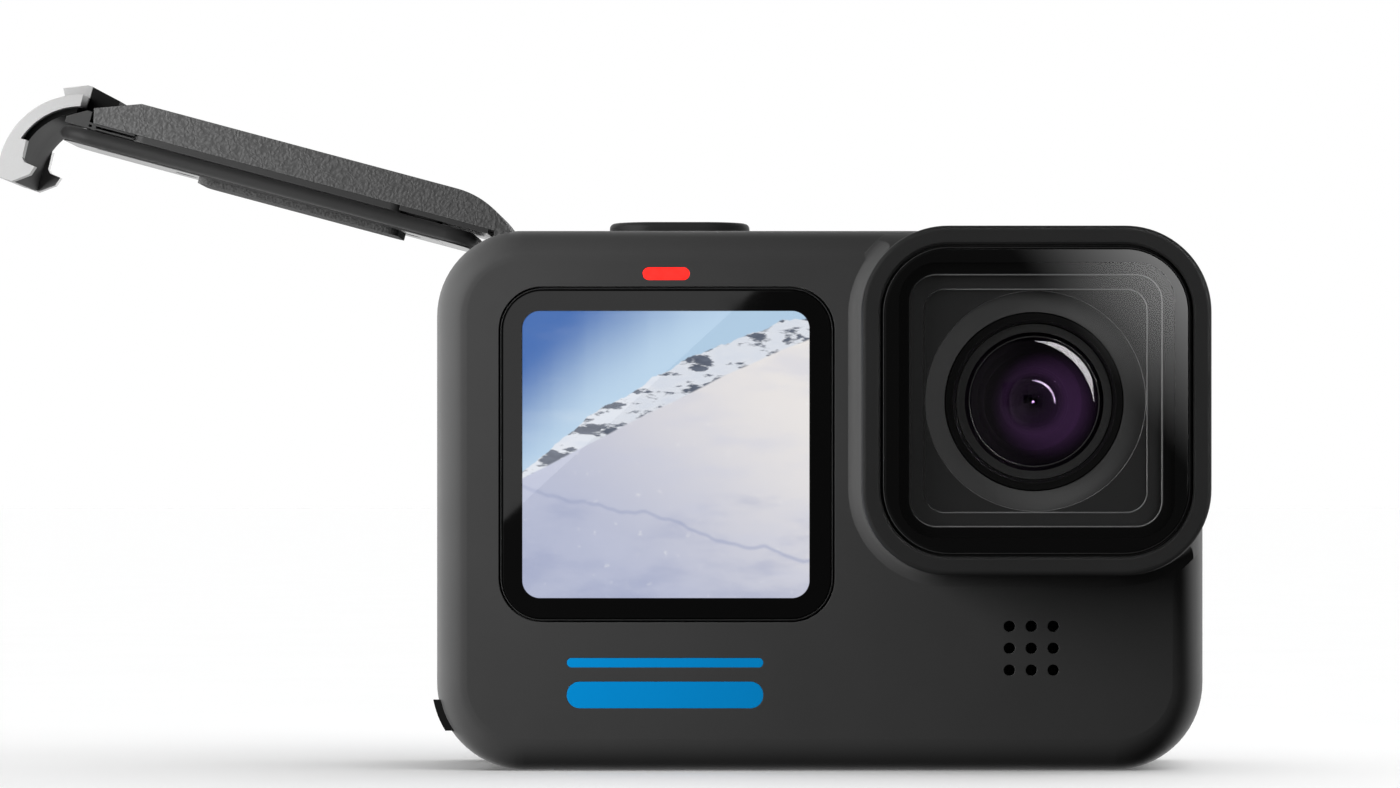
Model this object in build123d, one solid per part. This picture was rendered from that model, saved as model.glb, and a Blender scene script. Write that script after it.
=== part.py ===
"""Action camera with a side door, a twist-off lens cover and folding mounting fingers.

Millimetres. X runs across the front face, Y runs from front to back and Z points up.
The lens looks along -Y. The origin is the middle of the flat base, on the table.
The side door is modelled closed, then turned to its fully open stop, which is the rest pose.
"""

import math
import os

from build123d import *

# ---- Body -------------------------------------------------------------------------------------
BODY_WIDTH = 71.7
BODY_HEIGHT = 50.45
FRONT_FACE = -12.2
REAR_FACE = 12.0
TOP_CORNER = 8.0
BOTTOM_CORNER = 8.2
FRONT_EDGE = 3.0
REAR_EDGE = 2.4
WALL = 1.6
PARTING = -9.8
FRONT_WALL_BACK = FRONT_FACE + WALL
CAVITY_BACK = 9.0
SIDE = BODY_WIDTH / 2

# ---- Lens bump and removable cover ------------------------------------------------------------
LENS_X = 19.8
LENS_Z = 34.35
BUMP_SIZE = 32.0
BUMP_CORNER = 7.9
BUMP_TOP = -17.3
BUMP_BLEND = 1.6
BLEND_BITE = 0.05
BUMP_BORE = 12.4
COVER_FRONT = -21.5
COVER_BACK = -17.45
COVER_GLASS = 28.2
COVER_GLASS_CORNER = 6.1
COVER_GLASS_FRONT = -21.6
COVER_GLASS_BACK = -20.4
SKIRT_OUTER = 12.15
SKIRT_INNER = 11.0
SKIRT_BACK = -12.6
SKIRT_STEP = -14.4
LUG_NECK = 11.7
LUG_OUTER = 12.25
LUG_FRONT = -13.3
TOOTH_INNER = 11.85
TOOTH_FRONT = -14.25
TOOTH_BACK = -13.45
LUG_SPREAD = 26.0
ELEMENT_FRONT = -17.5
ELEMENT_BACK = -14.0
ELEMENT_CURVE = 12.0
ELEMENT_HOLLOW = 5.4
ELEMENT_HOLLOW_FRONT = -16.4

# ---- Front display ----------------------------------------------------------------------------
DISPLAY_X = -14.25
DISPLAY_Z = 29.5
DISPLAY_POCKET = 31.3
DISPLAY_CORNER = 4.1
DISPLAY_GLASS_THICK = 1.0
DISPLAY_SEAM = 0.18
DISPLAY_PANEL = 28.2
DISPLAY_PANEL_BACK = -9.3

# ---- Rear display -----------------------------------------------------------------------------
REAR_DISPLAY_Z = 25.4
REAR_GLASS_WIDTH = 62.4
REAR_GLASS_HEIGHT = 41.6
REAR_GLASS_CORNER = 3.4
REAR_PANEL_WIDTH = 55.0
REAR_PANEL_HEIGHT = 36.4
REAR_LEDGE = 10.9

# ---- Side door --------------------------------------------------------------------------------
HINGE_X = -30.3
HINGE_Z = 47.7
DOOR_OPEN = 105.0
DOOR_FRONT = -9.6
DOOR_BACK = 9.3
DOOR_MIDDLE = (DOOR_FRONT + DOOR_BACK) / 2
DOOR_THICK = 2.9
LIP_DEPTH = 3.53
BAY_DEPTH = 3.6
BAY_GAP = 0.2
KNUCKLE = 1.5
PIN = 0.6
PIN_FRONT = -10.9
PIN_BACK = 10.7
PIN_RUN = 0.05
KNUCKLE_POCKET = 1.75
SEAL_LIP = 2.7
HINGE_BOSS = 3.0
BORE_WIDTH = 15.4
BORE_HEIGHT = 40.9
BORE_CORNER = 3.0
BORE_Z = 24.85
BORE_BACK = -29.2
BORE_MOUTH = 0.6
BORE_MOUTH_RISE = 0.55
SEAL_RADIUS = 0.7
SEAL_DEPTH = 4.22
PLUG_DEPTH = 5.06
PAD_DEPTH = 5.63
DOOR_SCREWS = (16.5, 38.5)
LATCH_INSET = 0.35
LATCH_THICK = 1.1
SLIDE_THICK = 0.5
LATCH_ROOM = 2.1
HOOK_WIDTH = 1.5
GUARD_DEPTH = 0.7
RIDGE_HALF = 4.7

# ---- Folding fingers --------------------------------------------------------------------------
FINGER_THICK = 2.8
FINGER_PIVOT_X = 3.05
FINGER_PIVOT_Z = 1.7
FINGER_EYE_X = 13.4
FINGER_EYE_RADIUS = 7.3
FINGER_BORE = 2.55
FINGER_PIN = 0.75
FINGER_ROOM = 7.6
RECESS_END = 21.0
RECESS_TOP = 4.1
RECESS_HALF = 7.9
CAVITY_FLOOR = 5.3

# ---- Battery and boards -----------------------------------------------------------------------
BATTERY = (-29.1, 9.9, -4.95, 7.35, 6.9, 39.3)
CAGE_WALL = 0.5
CAGE_ROOM = 0.1
CONTACT_Y = (BATTERY[2] + BATTERY[3]) / 2
BOARD_FRONT = -8.4
BOARD_BACK = -7.6
BOARD = (-28.6, 7.9, 6.6, 44.2)
CARD = (-29.6, -14.6, -7.25, -6.25, 14.0, 25.0)

# ---- Buttons ----------------------------------------------------------------------------------
SHUTTER_X = -13.3
SHUTTER_Y = -0.6
SHUTTER_LENGTH = 13.3
SHUTTER_WIDTH = 8.4
SHUTTER_PROUD = 1.1
MODE_Y = 1.2
MODE_Z = 29.0
MODE_LENGTH = 12.0
MODE_WIDTH = 4.6
BUTTON_GAP = 0.15
BUTTON_FLANGE = 0.6
BUTTON_SEAL = 0.2

# ---- Small front details ----------------------------------------------------------------------
MIC_X = 19.7
MIC_Z = 11.45
MIC_PITCH = 2.04
MIC_HOLE = 0.525
LIGHT_X = -14.3
LIGHT_Z = 46.33
LIGHT_LENGTH = 4.4
LIGHT_HEIGHT = 1.2
REAR_LIGHT_X = -22.0
REAR_LIGHT_Z = 47.6
ACCENT_X = -14.4
ACCENT_LENGTH = 18.3
ACCENT_DEPTH = 0.3

os.makedirs("parts", exist_ok=True)


# ---- Helpers ----------------------------------------------------------------------------------
def along_y(sketch, front, back):
    """A sketch drawn in X and Z, made solid between two Y planes."""
    plane = Plane(origin=(0, back, 0), x_dir=(1, 0, 0), z_dir=(0, -1, 0))
    return plane * extrude(sketch, back - front)


def along_x(sketch, left, right):
    """A sketch drawn in Y and Z, made solid between two X planes."""
    plane = Plane(origin=(left, 0, 0), x_dir=(0, 1, 0), z_dir=(1, 0, 0))
    return plane * extrude(sketch, right - left)


def along_z(sketch, low, high):
    """A sketch drawn in X and Y, made solid between two Z planes."""
    return Pos(0, 0, low) * extrude(sketch, high - low)


def block(x0, x1, y0, y1, z0, z1):
    """A box between its lowest and highest corners."""
    return Pos((x0 + x1) / 2, (y0 + y1) / 2, (z0 + z1) / 2) * Box(x1 - x0, y1 - y0, z1 - z0)


def flat(x0, x1, z0, z1):
    """A flat rectangle between two corners of a sketch."""
    return Pos((x0 + x1) / 2, (z0 + z1) / 2) * Rectangle(x1 - x0, z1 - z0)


def polygon(*corners):
    """A flat shape with these corners."""
    return make_face(Polyline(*corners, close=True))


def rounded(x, z, width, height, corner):
    """A flat rectangle with rounded corners about a centre."""
    return Pos(x, z) * RectangleRounded(width, height, corner)


def disc(x, z, radius):
    """A flat disc about a centre."""
    return Pos(x, z) * Circle(radius)


def rod_y(x, z, radius, front, back):
    """A round rod along Y."""
    return along_y(disc(x, z, radius), front, back)


def tube_y(x, z, outer, inner, front, back):
    """A round tube along Y."""
    return along_y(disc(x, z, outer) - disc(x, z, inner), front, back)


def lens_tube(outer, inner, front, back):
    """A tube on the lens axis."""
    return tube_y(LENS_X, LENS_Z, outer, inner, front, back)


def lens_square(size, corner):
    """A rounded square about the lens axis."""
    return rounded(LENS_X, LENS_Z, size, size, corner)


def body_outline(inset=0.0):
    """The body seen from the front, or a copy of it drawn in by the same amount all round."""
    sketch = Pos(0, BODY_HEIGHT / 2) * Rectangle(BODY_WIDTH - 2 * inset, BODY_HEIGHT - 2 * inset)
    sketch = fillet(sketch.vertices().group_by(Axis.Y)[-1], TOP_CORNER - inset)
    return fillet(sketch.vertices().group_by(Axis.Y)[0], BOTTOM_CORNER - inset)


def edges_at_y(solid, y):
    """The edges of a solid that lie in one Y plane."""
    return solid.edges().filter_by_position(Axis.Y, y - 0.01, y + 0.01)


def outer_edges_at_y(solid, y):
    """The outermost loop of edges in one Y plane."""
    faces = solid.faces().filter_by(Axis.Y).filter_by_position(Axis.Y, y - 0.01, y + 0.01)
    return faces.sort_by(SortBy.AREA)[-1].outer_wire().edges()


def screw(head_radius, head_height, shank_radius, shank_length, slot=0.25):
    """A pan-head screw along -Z with its head's underside at the origin and a cross recess."""
    head = Pos(0, 0, head_height / 2) * Cylinder(head_radius, head_height)
    shank = Pos(0, 0, -shank_length / 2) * Cylinder(shank_radius, shank_length)
    bar = Pos(0, 0, head_height) * Box(head_radius * 1.2, slot, head_height)
    return head + shank - bar - Rot(0, 0, 90) * bar


def as_group(solids):
    """Several separate solids kept as one node."""
    return Compound(children=[s for part in solids for s in part.solids()])


def open_door(shape):
    """Turns a piece of the closed door to the fully open stop."""
    return shape.rotate(Axis((HINGE_X, 0, HINGE_Z), (0, 1, 0)), DOOR_OPEN)


# ---- Front cover ------------------------------------------------------------------------------
def outer_body():
    """The whole rounded body before it is split into cover and housing."""
    body = along_y(body_outline(), FRONT_FACE, REAR_FACE)
    body = fillet(outer_edges_at_y(body, FRONT_FACE), FRONT_EDGE)
    return fillet(outer_edges_at_y(body, REAR_FACE), REAR_EDGE)


def bump_blend():
    """The hollow blend that runs from the front face up to the lens bump.

    The groove that hollows it sinks by BLEND_BITE into both walls, so that no two faces only touch.
    """
    reach = BUMP_BLEND - BLEND_BITE
    edge = lens_square(BUMP_SIZE + 2 * reach, BUMP_CORNER + reach)
    top = FRONT_FACE - reach
    slab = along_y(edge, top, FRONT_FACE + 1.0)
    path = (Plane(origin=(0, top, 0), x_dir=(1, 0, 0), z_dir=(0, -1, 0)) * edge).wires()[0]
    section = Plane(origin=path @ 0, z_dir=path % 0) * Circle(BUMP_BLEND)
    groove = sweep(section, path=path, transition=Transition.RIGHT)
    pillow = along_y(body_outline(), top, FRONT_FACE + FRONT_EDGE)
    pillow = fillet(edges_at_y(pillow, top), FRONT_EDGE + reach - 0.05)
    return (slab - groove) & pillow


def display_openings():
    """The pocket for the display glass and the window for the display panel behind it."""
    pocket = rounded(DISPLAY_X, DISPLAY_Z, DISPLAY_POCKET, DISPLAY_POCKET, DISPLAY_CORNER)
    window = rounded(DISPLAY_X, DISPLAY_Z, DISPLAY_PANEL + 0.2, DISPLAY_PANEL + 0.2, 1.2)
    pocket_back = FRONT_FACE + DISPLAY_GLASS_THICK + 0.1
    return along_y(pocket, FRONT_FACE - 1, pocket_back) + along_y(window, FRONT_FACE, PARTING)


def mic_holes():
    """The three by three grid of microphone holes."""
    steps = (-MIC_PITCH, 0, MIC_PITCH)
    holes = [
        rod_y(MIC_X + across, MIC_Z + up, MIC_HOLE, FRONT_FACE - 1, PARTING)
        for across in steps
        for up in steps
    ]
    return Part() + holes


def accent_bars(gap=0.0):
    """The two plain bars of the coloured accent under the display, a thick one and a thin one."""
    thick = rounded(ACCENT_X, 7.1, ACCENT_LENGTH + gap, 2.5 + gap, 1.2 + gap / 2)
    thin = rounded(ACCENT_X, 10.1, ACCENT_LENGTH + gap, 0.9 + gap, 0.44 + gap / 2)
    return [thick, thin]


def lens_screw_places():
    """Where the four lens-block screws stand."""
    reach = 10.4
    return [(LENS_X + a * reach, LENS_Z + b * reach) for a in (-1, 1) for b in (-1, 1)]


def make_front_cover():
    shell = outer_body() & block(-SIDE - 1, SIDE + 1, FRONT_FACE - 1, PARTING, -1, BODY_HEIGHT + 1)
    shell += bump_blend()
    bump = along_y(lens_square(BUMP_SIZE, BUMP_CORNER), BUMP_TOP, PARTING)
    shell += fillet(edges_at_y(bump, BUMP_TOP), 0.35)
    shell -= along_y(cavity_outline(), FRONT_WALL_BACK, PARTING)
    shell += along_y(lens_square(BUMP_SIZE - 1.4, BUMP_CORNER - 0.7), BUMP_TOP + 2.0, FRONT_WALL_BACK)
    shell -= rod_y(LENS_X, LENS_Z, BUMP_BORE, BUMP_TOP - 1, PARTING + 1)
    shell += lens_tube(BUMP_BORE + 0.1, TOOTH_INNER, TOOTH_FRONT, TOOTH_BACK) & bayonet_sectors()
    shell -= display_openings()
    shell -= mic_holes()
    light = Pos(LIGHT_X, LIGHT_Z) * SlotOverall(LIGHT_LENGTH, LIGHT_HEIGHT)
    shell -= along_y(light, FRONT_FACE - 1, PARTING)
    for bar in accent_bars():
        shell -= along_y(bar, FRONT_FACE - 1, FRONT_FACE + ACCENT_DEPTH)
    for x, z in lens_screw_places():
        shell -= rod_y(x, z, 0.6, BUMP_TOP + 4.5, FRONT_WALL_BACK)
    shell -= rod_y(HINGE_X, HINGE_Z, PIN, PIN_FRONT, PARTING + 1)
    shell -= along_y(guard_outline(1.0), PARTING - GUARD_DEPTH, PARTING + 1)
    return shell - seal_ring()


def seal_ring():
    """The flat seal between the front cover and the main housing."""
    return along_y(seal_track(0.5) - seal_track(1.1), PARTING - 0.15, PARTING + 0.15)


def seal_track(inset):
    """The area inside the parting seal, which keeps clear of the door bay and the hinge."""
    track = body_outline(inset) & flat(-31.5 + inset, SIDE, 0, BODY_HEIGHT)
    track -= disc(HINGE_X, HINGE_Z, KNUCKLE_POCKET + inset)
    return track - flat(-SIDE, -24.8 + inset, 0, 4.5 + inset)


# ---- Main housing -----------------------------------------------------------------------------
def cavity_outline():
    """The room inside the camera, seen from the front."""
    room = body_outline(WALL) & flat(BORE_BACK, SIDE, 0, BODY_HEIGHT)
    room -= flat(-RECESS_END - 3, RECESS_END + 2, 0, CAVITY_FLOOR)
    room -= flat(-SIDE, -23.0, 0, 6.2)
    return room - disc(HINGE_X, HINGE_Z, HINGE_BOSS)


def seal_lip():
    """The curved lip under the hinge that the top of the door seal closes against."""
    ring = disc(HINGE_X, HINGE_Z, SEAL_LIP) - disc(HINGE_X, HINGE_Z, KNUCKLE_POCKET)
    axis = (HINGE_X, HINGE_Z)
    corners = [(HINGE_X - 4, HINGE_Z - 4), (HINGE_X, HINGE_Z - 6), (HINGE_X + 1, HINGE_Z - 6)]
    return ring & polygon(axis, *corners)


def door_bay():
    """The open bay that the closed door fills, with room for its knuckle, latch and hooks."""
    front, back = PARTING, DOOR_BACK + BAY_GAP
    straight = flat(-SIDE - 3, -SIDE + BAY_DEPTH, 5.0, BODY_HEIGHT + 3)
    above = flat(-SIDE - 3, HINGE_X, HINGE_Z - 1.6, BODY_HEIGHT + 3)
    above += flat(HINGE_X - 0.1, HINGE_X + KNUCKLE_POCKET, HINGE_Z, BODY_HEIGHT + 3)
    corner = flat(-SIDE - 3, -24.9, -3, 7.0) - body_outline(LATCH_ROOM)
    heel = flat(-30.3, -24.9, -3, 2.7)
    profile = straight + above + corner + heel + disc(HINGE_X, HINGE_Z, KNUCKLE_POCKET) - seal_lip()
    bay = along_y(profile, front, back)
    hook_path = flat(-SIDE - 3, -24.9, -3, 4.5)
    bay += along_y(hook_path, front, DOOR_FRONT + HOOK_WIDTH + 0.1)
    return bay + along_y(hook_path, DOOR_BACK - HOOK_WIDTH - 0.1, back)


def seal_bore(gap=0.0):
    """The door's sealing bore, or a smaller copy of it."""
    width, height = BORE_WIDTH - 2 * gap, BORE_HEIGHT - 2 * gap
    return rounded(DOOR_MIDDLE, BORE_Z, width, height, BORE_CORNER - gap)


def bore_mouth():
    """The step at the top of the bore's mouth, which the door seal swings through."""
    raised = Pos(0, BORE_MOUTH_RISE) * seal_bore()
    bay_face = -SIDE + BAY_DEPTH
    return along_x(raised, bay_face - 1, bay_face + BORE_MOUTH)


def finger_recess():
    """The pocket in the base that the folded fingers and their bracket lie in."""
    sketch = RectangleRounded(2 * RECESS_END, 2 * RECESS_HALF, FINGER_ROOM)
    return along_z(sketch, -1, RECESS_TOP)


def speaker_slots():
    """Three upright slots in the side wall in front of the speaker."""
    slots = [
        along_x(Pos(y, 12.0) * SlotOverall(6.0, 0.9, rotation=90), SIDE - 3, SIDE + 1)
        for y in (0.8, 3.0, 5.2)
    ]
    return Part() + slots


def guard_outline(proud):
    """The latch guard on the body's lower corner, seen from the front."""
    band = body_outline(-proud) - body_outline(1.1)
    return band & flat(-SIDE - 1, -32.5, 3.7, 6.6)


def make_main_housing():
    shell = outer_body() & block(-SIDE - 1, SIDE + 1, PARTING, REAR_FACE + 1, -1, BODY_HEIGHT + 1)
    shell -= along_y(cavity_outline(), PARTING - 1, CAVITY_BACK)
    glass = rounded(0, REAR_DISPLAY_Z, REAR_GLASS_WIDTH, REAR_GLASS_HEIGHT, REAR_GLASS_CORNER)
    shell -= along_y(glass, REAR_LEDGE, REAR_FACE + 1)
    panel = rounded(0, REAR_DISPLAY_Z, REAR_PANEL_WIDTH + 0.4, REAR_PANEL_HEIGHT + 0.4, 1.0)
    shell -= along_y(panel, CAVITY_BACK - 1, REAR_FACE)
    shell -= door_bay()
    bore = along_x(seal_bore(), -SIDE, BORE_BACK + 0.01) + bore_mouth()
    shell -= bore - rod_y(HINGE_X, HINGE_Z, SEAL_LIP, -20, 20)
    shell -= rod_y(HINGE_X, HINGE_Z, PIN, DOOR_BACK, PIN_BACK)
    shell -= finger_recess()
    for x in (-17.9, 17.9):
        shell -= along_z(disc(x, 0, 0.55), RECESS_TOP - 1, CAVITY_FLOOR - 0.1)
    hole = RectangleRounded(
        SHUTTER_LENGTH + 2 * BUTTON_GAP, SHUTTER_WIDTH + 2 * BUTTON_GAP, SHUTTER_WIDTH / 2
    )
    shell -= along_z(Pos(SHUTTER_X, SHUTTER_Y) * hole, BODY_HEIGHT - 4, BODY_HEIGHT + 1)
    slot = SlotOverall(MODE_LENGTH + 2 * BUTTON_GAP, MODE_WIDTH + 2 * BUTTON_GAP, rotation=90)
    shell -= along_x(Pos(MODE_Y, MODE_Z) * slot, SIDE - 3, SIDE + 1)
    shell -= speaker_slots()
    light = Pos(REAR_LIGHT_X, REAR_LIGHT_Z) * SlotOverall(3.0, 0.9)
    shell -= along_y(light, CAVITY_BACK - 1, REAR_FACE + 1)
    return shell - seal_ring()


# ---- Front and rear displays ------------------------------------------------------------------
def make_display_glass(sketch, front, back, chamfer_at, size=0.25):
    glass = along_y(sketch, front, back)
    return chamfer(edges_at_y(glass, chamfer_at), size)


def make_front_display_glass():
    size = DISPLAY_POCKET - 2 * DISPLAY_SEAM
    sketch = rounded(DISPLAY_X, DISPLAY_Z, size, size, DISPLAY_CORNER - DISPLAY_SEAM)
    front = FRONT_FACE - 0.02
    return make_display_glass(sketch, front, FRONT_FACE + DISPLAY_GLASS_THICK, front)


def make_front_display_panel():
    sketch = rounded(DISPLAY_X, DISPLAY_Z, DISPLAY_PANEL, DISPLAY_PANEL, 1.1)
    return along_y(sketch, FRONT_FACE + DISPLAY_GLASS_THICK + 0.05, DISPLAY_PANEL_BACK)


def make_rear_display_glass():
    sketch = rounded(
        0, REAR_DISPLAY_Z, REAR_GLASS_WIDTH - 0.3, REAR_GLASS_HEIGHT - 0.3, REAR_GLASS_CORNER - 0.15
    )
    return make_display_glass(sketch, REAR_LEDGE + 0.05, REAR_FACE, REAR_FACE)


def make_rear_display_panel():
    sketch = rounded(0, REAR_DISPLAY_Z, REAR_PANEL_WIDTH, REAR_PANEL_HEIGHT, 0.8)
    return along_y(sketch, CAVITY_BACK + 0.15, REAR_LEDGE)


# ---- Lens cover (twists off) ------------------------------------------------------------------
def make_lens_cover_frame():
    frame = along_y(lens_square(BUMP_SIZE, BUMP_CORNER), COVER_FRONT, COVER_BACK)
    frame = fillet(edges_at_y(frame, COVER_FRONT), 0.45)
    seat = lens_square(COVER_GLASS + 0.4, COVER_GLASS_CORNER + 0.2)
    frame -= along_y(seat, COVER_FRONT - 1, COVER_GLASS_BACK)
    frame -= along_y(lens_square(26.4, 5.0), COVER_FRONT, COVER_BACK - 1.2)
    frame -= rod_y(LENS_X, LENS_Z, 10.15, COVER_FRONT, COVER_BACK + 1)
    seat_edges = [edge for edge in edges_at_y(frame, COVER_FRONT) if is_seat_edge(edge)]
    frame = chamfer(seat_edges, 0.2)
    skirt = lens_tube(SKIRT_OUTER, SKIRT_INNER, COVER_BACK - 0.5, SKIRT_STEP)
    skirt += lens_tube(LUG_NECK, SKIRT_INNER, SKIRT_STEP - 0.1, SKIRT_BACK)
    skirt += lens_tube(LUG_OUTER, SKIRT_INNER, LUG_FRONT, SKIRT_BACK) & bayonet_sectors()
    return frame + skirt - cover_seal(0.0)


def bayonet_sectors():
    """Three wedges about the lens axis that hold the bayonet's lugs and teeth."""
    reach = 20.0
    side = reach * math.tan(math.radians(LUG_SPREAD / 2))
    wedge = polygon((0, 0), (side, reach), (-side, reach))
    wedges = [Pos(LENS_X, LENS_Z) * Rot(0, 0, turn) * wedge for turn in (0, 120, 240)]
    return along_y(Sketch() + wedges, COVER_FRONT, PARTING)


def is_seat_edge(edge):
    """True for an edge on the glass seat of the lens cover frame."""
    reach = max(abs(edge.center().X - LENS_X), abs(edge.center().Z - LENS_Z))
    return reach < COVER_GLASS / 2 + 0.3


def cover_seal(shrink):
    """The ring seal in the lens cover's skirt."""
    return lens_tube(SKIRT_OUTER + 0.2 - shrink, SKIRT_OUTER - 0.45, -15.9, -15.1)


def make_lens_cover_glass():
    sketch = lens_square(COVER_GLASS, COVER_GLASS_CORNER)
    return make_display_glass(sketch, COVER_GLASS_FRONT, COVER_GLASS_BACK - 0.02, COVER_GLASS_FRONT, 0.3)


def make_lens_cover_baffle():
    """The black stepped mask behind the cover glass: two square steps, then a round opening."""
    back = COVER_BACK - 1.25
    outer_step = along_y(lens_square(26.3, 4.9) - lens_square(23.1, 2.4), COVER_GLASS_BACK + 0.02, back)
    inner_step = along_y(lens_square(24.3, 3.0) - lens_square(20.5, 1.9), -19.0, back)
    return outer_step + inner_step


# ---- Lens -------------------------------------------------------------------------------------
def make_lens_bezel():
    bezel = lens_tube(10.85, 8.3, -15.6, -15.0)
    bezel += lens_tube(10.85, 10.0, -15.6, -10.62)
    return bezel + lens_tube(12.3, 10.0, -11.5, -10.62)


def make_lens_barrel():
    profile = Polyline(
        (6.5, -15.6),
        (7.2, -15.6),
        (7.3, -16.5),
        (7.55, -16.8),
        (8.15, -15.9),
        (8.15, -10.5),
        (7.0, -10.5),
        (7.0, -4.0),
        (4.6, -4.0),
        (4.6, -10.0),
        (6.5, -10.0),
        close=True,
    )
    return turned(profile)


def turned(wire):
    """Turns a closed outline of radius and depth about the lens axis."""
    face = make_face(wire)
    solid = revolve(face, Axis.Y)
    return Pos(LENS_X, 0, LENS_Z) * solid


def make_retaining_ring():
    return lens_tube(7.18, 6.42, -15.95, -15.61)


def lens_element(radius, front, back, front_curve, back_curve):
    """A lens element: an edge cylinder whose faces bulge out or are hollowed by spheres.

    A positive curve bulges towards the front and a negative one towards the back; zero is flat.
    """
    solid = rod_y(0, 0, radius, front - 4, back + 4)
    for curve, face, keep_front in ((front_curve, front, False), (back_curve, back, True)):
        solid = shaped_face(solid, curve, face, keep_front)
    return Pos(LENS_X, 0, LENS_Z) * solid


def shaped_face(solid, curve, face, keep_front):
    """Ends a rod at one lens surface, keeping the material in front of it or behind it."""
    if curve == 0:
        keep = block(-20, 20, -60, face, -20, 20) if keep_front else block(-20, 20, face, 60, -20, 20)
        return solid & keep
    ball = Pos(0, face + curve, 0) * Sphere(abs(curve))
    bulges = (curve > 0) != keep_front
    return solid & ball if bulges else solid - ball


def make_front_element():
    """A shallow dome in front, hollowed from behind."""
    dome = lens_element(6.38, ELEMENT_FRONT, ELEMENT_BACK, ELEMENT_CURVE, 0)
    return dome - Pos(LENS_X, ELEMENT_HOLLOW_FRONT + ELEMENT_HOLLOW, LENS_Z) * Sphere(ELEMENT_HOLLOW)


def make_lens_spacer():
    profile = Polyline(
        (6.45, -13.95),
        (5.2, -13.95),
        (3.3, -13.1),
        (3.3, -12.0),
        (2.0, -11.6),
        (2.0, -10.05),
        (6.45, -10.05),
        close=True,
    )
    return turned(profile)


def make_second_element():
    return lens_element(3.2, -13.9, -12.1, 5.2, 0)


def make_rear_element():
    return lens_element(4.5, -8.6, -5.2, 9.0, -9.0) & rod_y(LENS_X, LENS_Z, 4.5, -8.6, -5.2)


def make_lens_holder():
    flange = along_y(lens_square(24.0, 2.0), -10.55, -9.1)
    holder = flange + rod_y(LENS_X, LENS_Z, 8.6, -9.2, -3.0)
    holder -= rod_y(LENS_X, LENS_Z, 8.2, -11, -10.45)
    holder -= rod_y(LENS_X, LENS_Z, 7.05, -11, -2)
    for x, z in lens_screw_places():
        holder -= rod_y(x, z, 0.65, -11, -9)
    return holder


def make_lens_screws():
    lens_screw = Rot(270, 0, 0) * screw(1.2, 0.6, 0.55, 3.0)
    return as_group([Pos(x, -9.1, z) * lens_screw for x, z in lens_screw_places()])


def make_infrared_filter():
    return along_y(lens_square(9.0, 0.6), -2.95, -2.65)


def make_image_sensor():
    return along_y(rounded(LENS_X, LENS_Z, 9.6, 8.2, 0.4), -2.6, -1.4)


def make_sensor_board():
    return along_y(lens_square(16.4, 1.0), -1.38, -0.6)


# ---- Boards and what is on them ---------------------------------------------------------------
def cage_box(grow):
    """The battery's box, grown by the same amount on every side but its open end."""
    x0, x1, y0, y1, z0, z1 = BATTERY
    return (BORE_BACK, x1 + grow, y0 - grow, y1 + grow, z0 - grow, z1 + grow)


def board_screw_places():
    """Where the four main-board screws stand, in X and Z."""
    return [(x, z) for x in (-26.5, 5.8) for z in (8.9, 37.2)]


def make_battery_cage():
    cage = block(*cage_box(CAGE_ROOM + CAGE_WALL))
    x0, x1, y0, y1, z0, z1 = cage_box(CAGE_ROOM)
    cage -= block(x0 - 1, x1, y0, y1, z0, z1)
    for x, z in board_screw_places():
        cage += rod_y(x, z, 1.2, BOARD_BACK, y0 - CAGE_WALL + 0.1)
        cage -= rod_y(x, z, 0.5, BOARD_BACK - 1, y0 - CAGE_WALL - 0.05)
    return cage - along_x(rounded(CONTACT_Y, 22.6, 9.0, 4.0, 0.4), x1 - 1, x1 + 2)


def make_battery_contacts():
    x1 = BATTERY[1] + CAGE_ROOM
    return along_x(rounded(CONTACT_Y, 22.6, 8.8, 3.8, 0.3), x1 + 0.02, x1 + 0.65)


def make_battery():
    x0, x1, y0, y1, z0, z1 = BATTERY
    pack = block(x0, x1, y0, y1, z0, z1)
    return fillet(pack.edges().filter_by(Axis.X), 1.2)


def make_battery_tab():
    x0, _, y0, y1, z0, z1 = BATTERY
    tab = along_x(rounded(CONTACT_Y, z0 + 9.5, 9.0, 13.0, 1.5), x0 - 0.35, x0)
    return tab - along_x(Pos(CONTACT_Y, z0 + 6.3) * SlotOverall(5.0, 1.6), x0 - 1, x0 + 1)


def make_main_board():
    x0, x1, z0, z1 = BOARD
    outline = rounded((x0 + x1) / 2, (z0 + z1) / 2, x1 - x0, z1 - z0, 1.5)
    board = along_y(outline, BOARD_FRONT, BOARD_BACK)
    for x, z in board_screw_places():
        board -= rod_y(x, z, 0.6, BOARD_FRONT - 1, BOARD_BACK + 1)
    return board


def make_board_screws():
    turn = Rot(90, 0, 0)
    return as_group(
        [Pos(x, BOARD_FRONT, z) * turn * screw(1.1, 0.45, 0.48, 2.6) for x, z in board_screw_places()]
    )


def make_board_chips():
    """Processor, memory and power chips on the back of the main board."""
    chips = [
        block(-11.0, 1.0, BOARD_BACK, BOARD_BACK + 1.4, 26.5, 38.5),
        block(-24.0, -16.0, BOARD_BACK, BOARD_BACK + 1.0, 28.5, 36.5),
        block(-11.0, -3.0, BOARD_BACK, BOARD_BACK + 0.9, 9.0, 14.0),
        block(0.5, 6.0, BOARD_BACK, BOARD_BACK + 1.0, 14.0, 21.0),
        block(-8.0, -4.5, BOARD_BACK, BOARD_BACK + 0.8, 18.0, 21.5),
    ]
    return as_group(chips)


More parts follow.
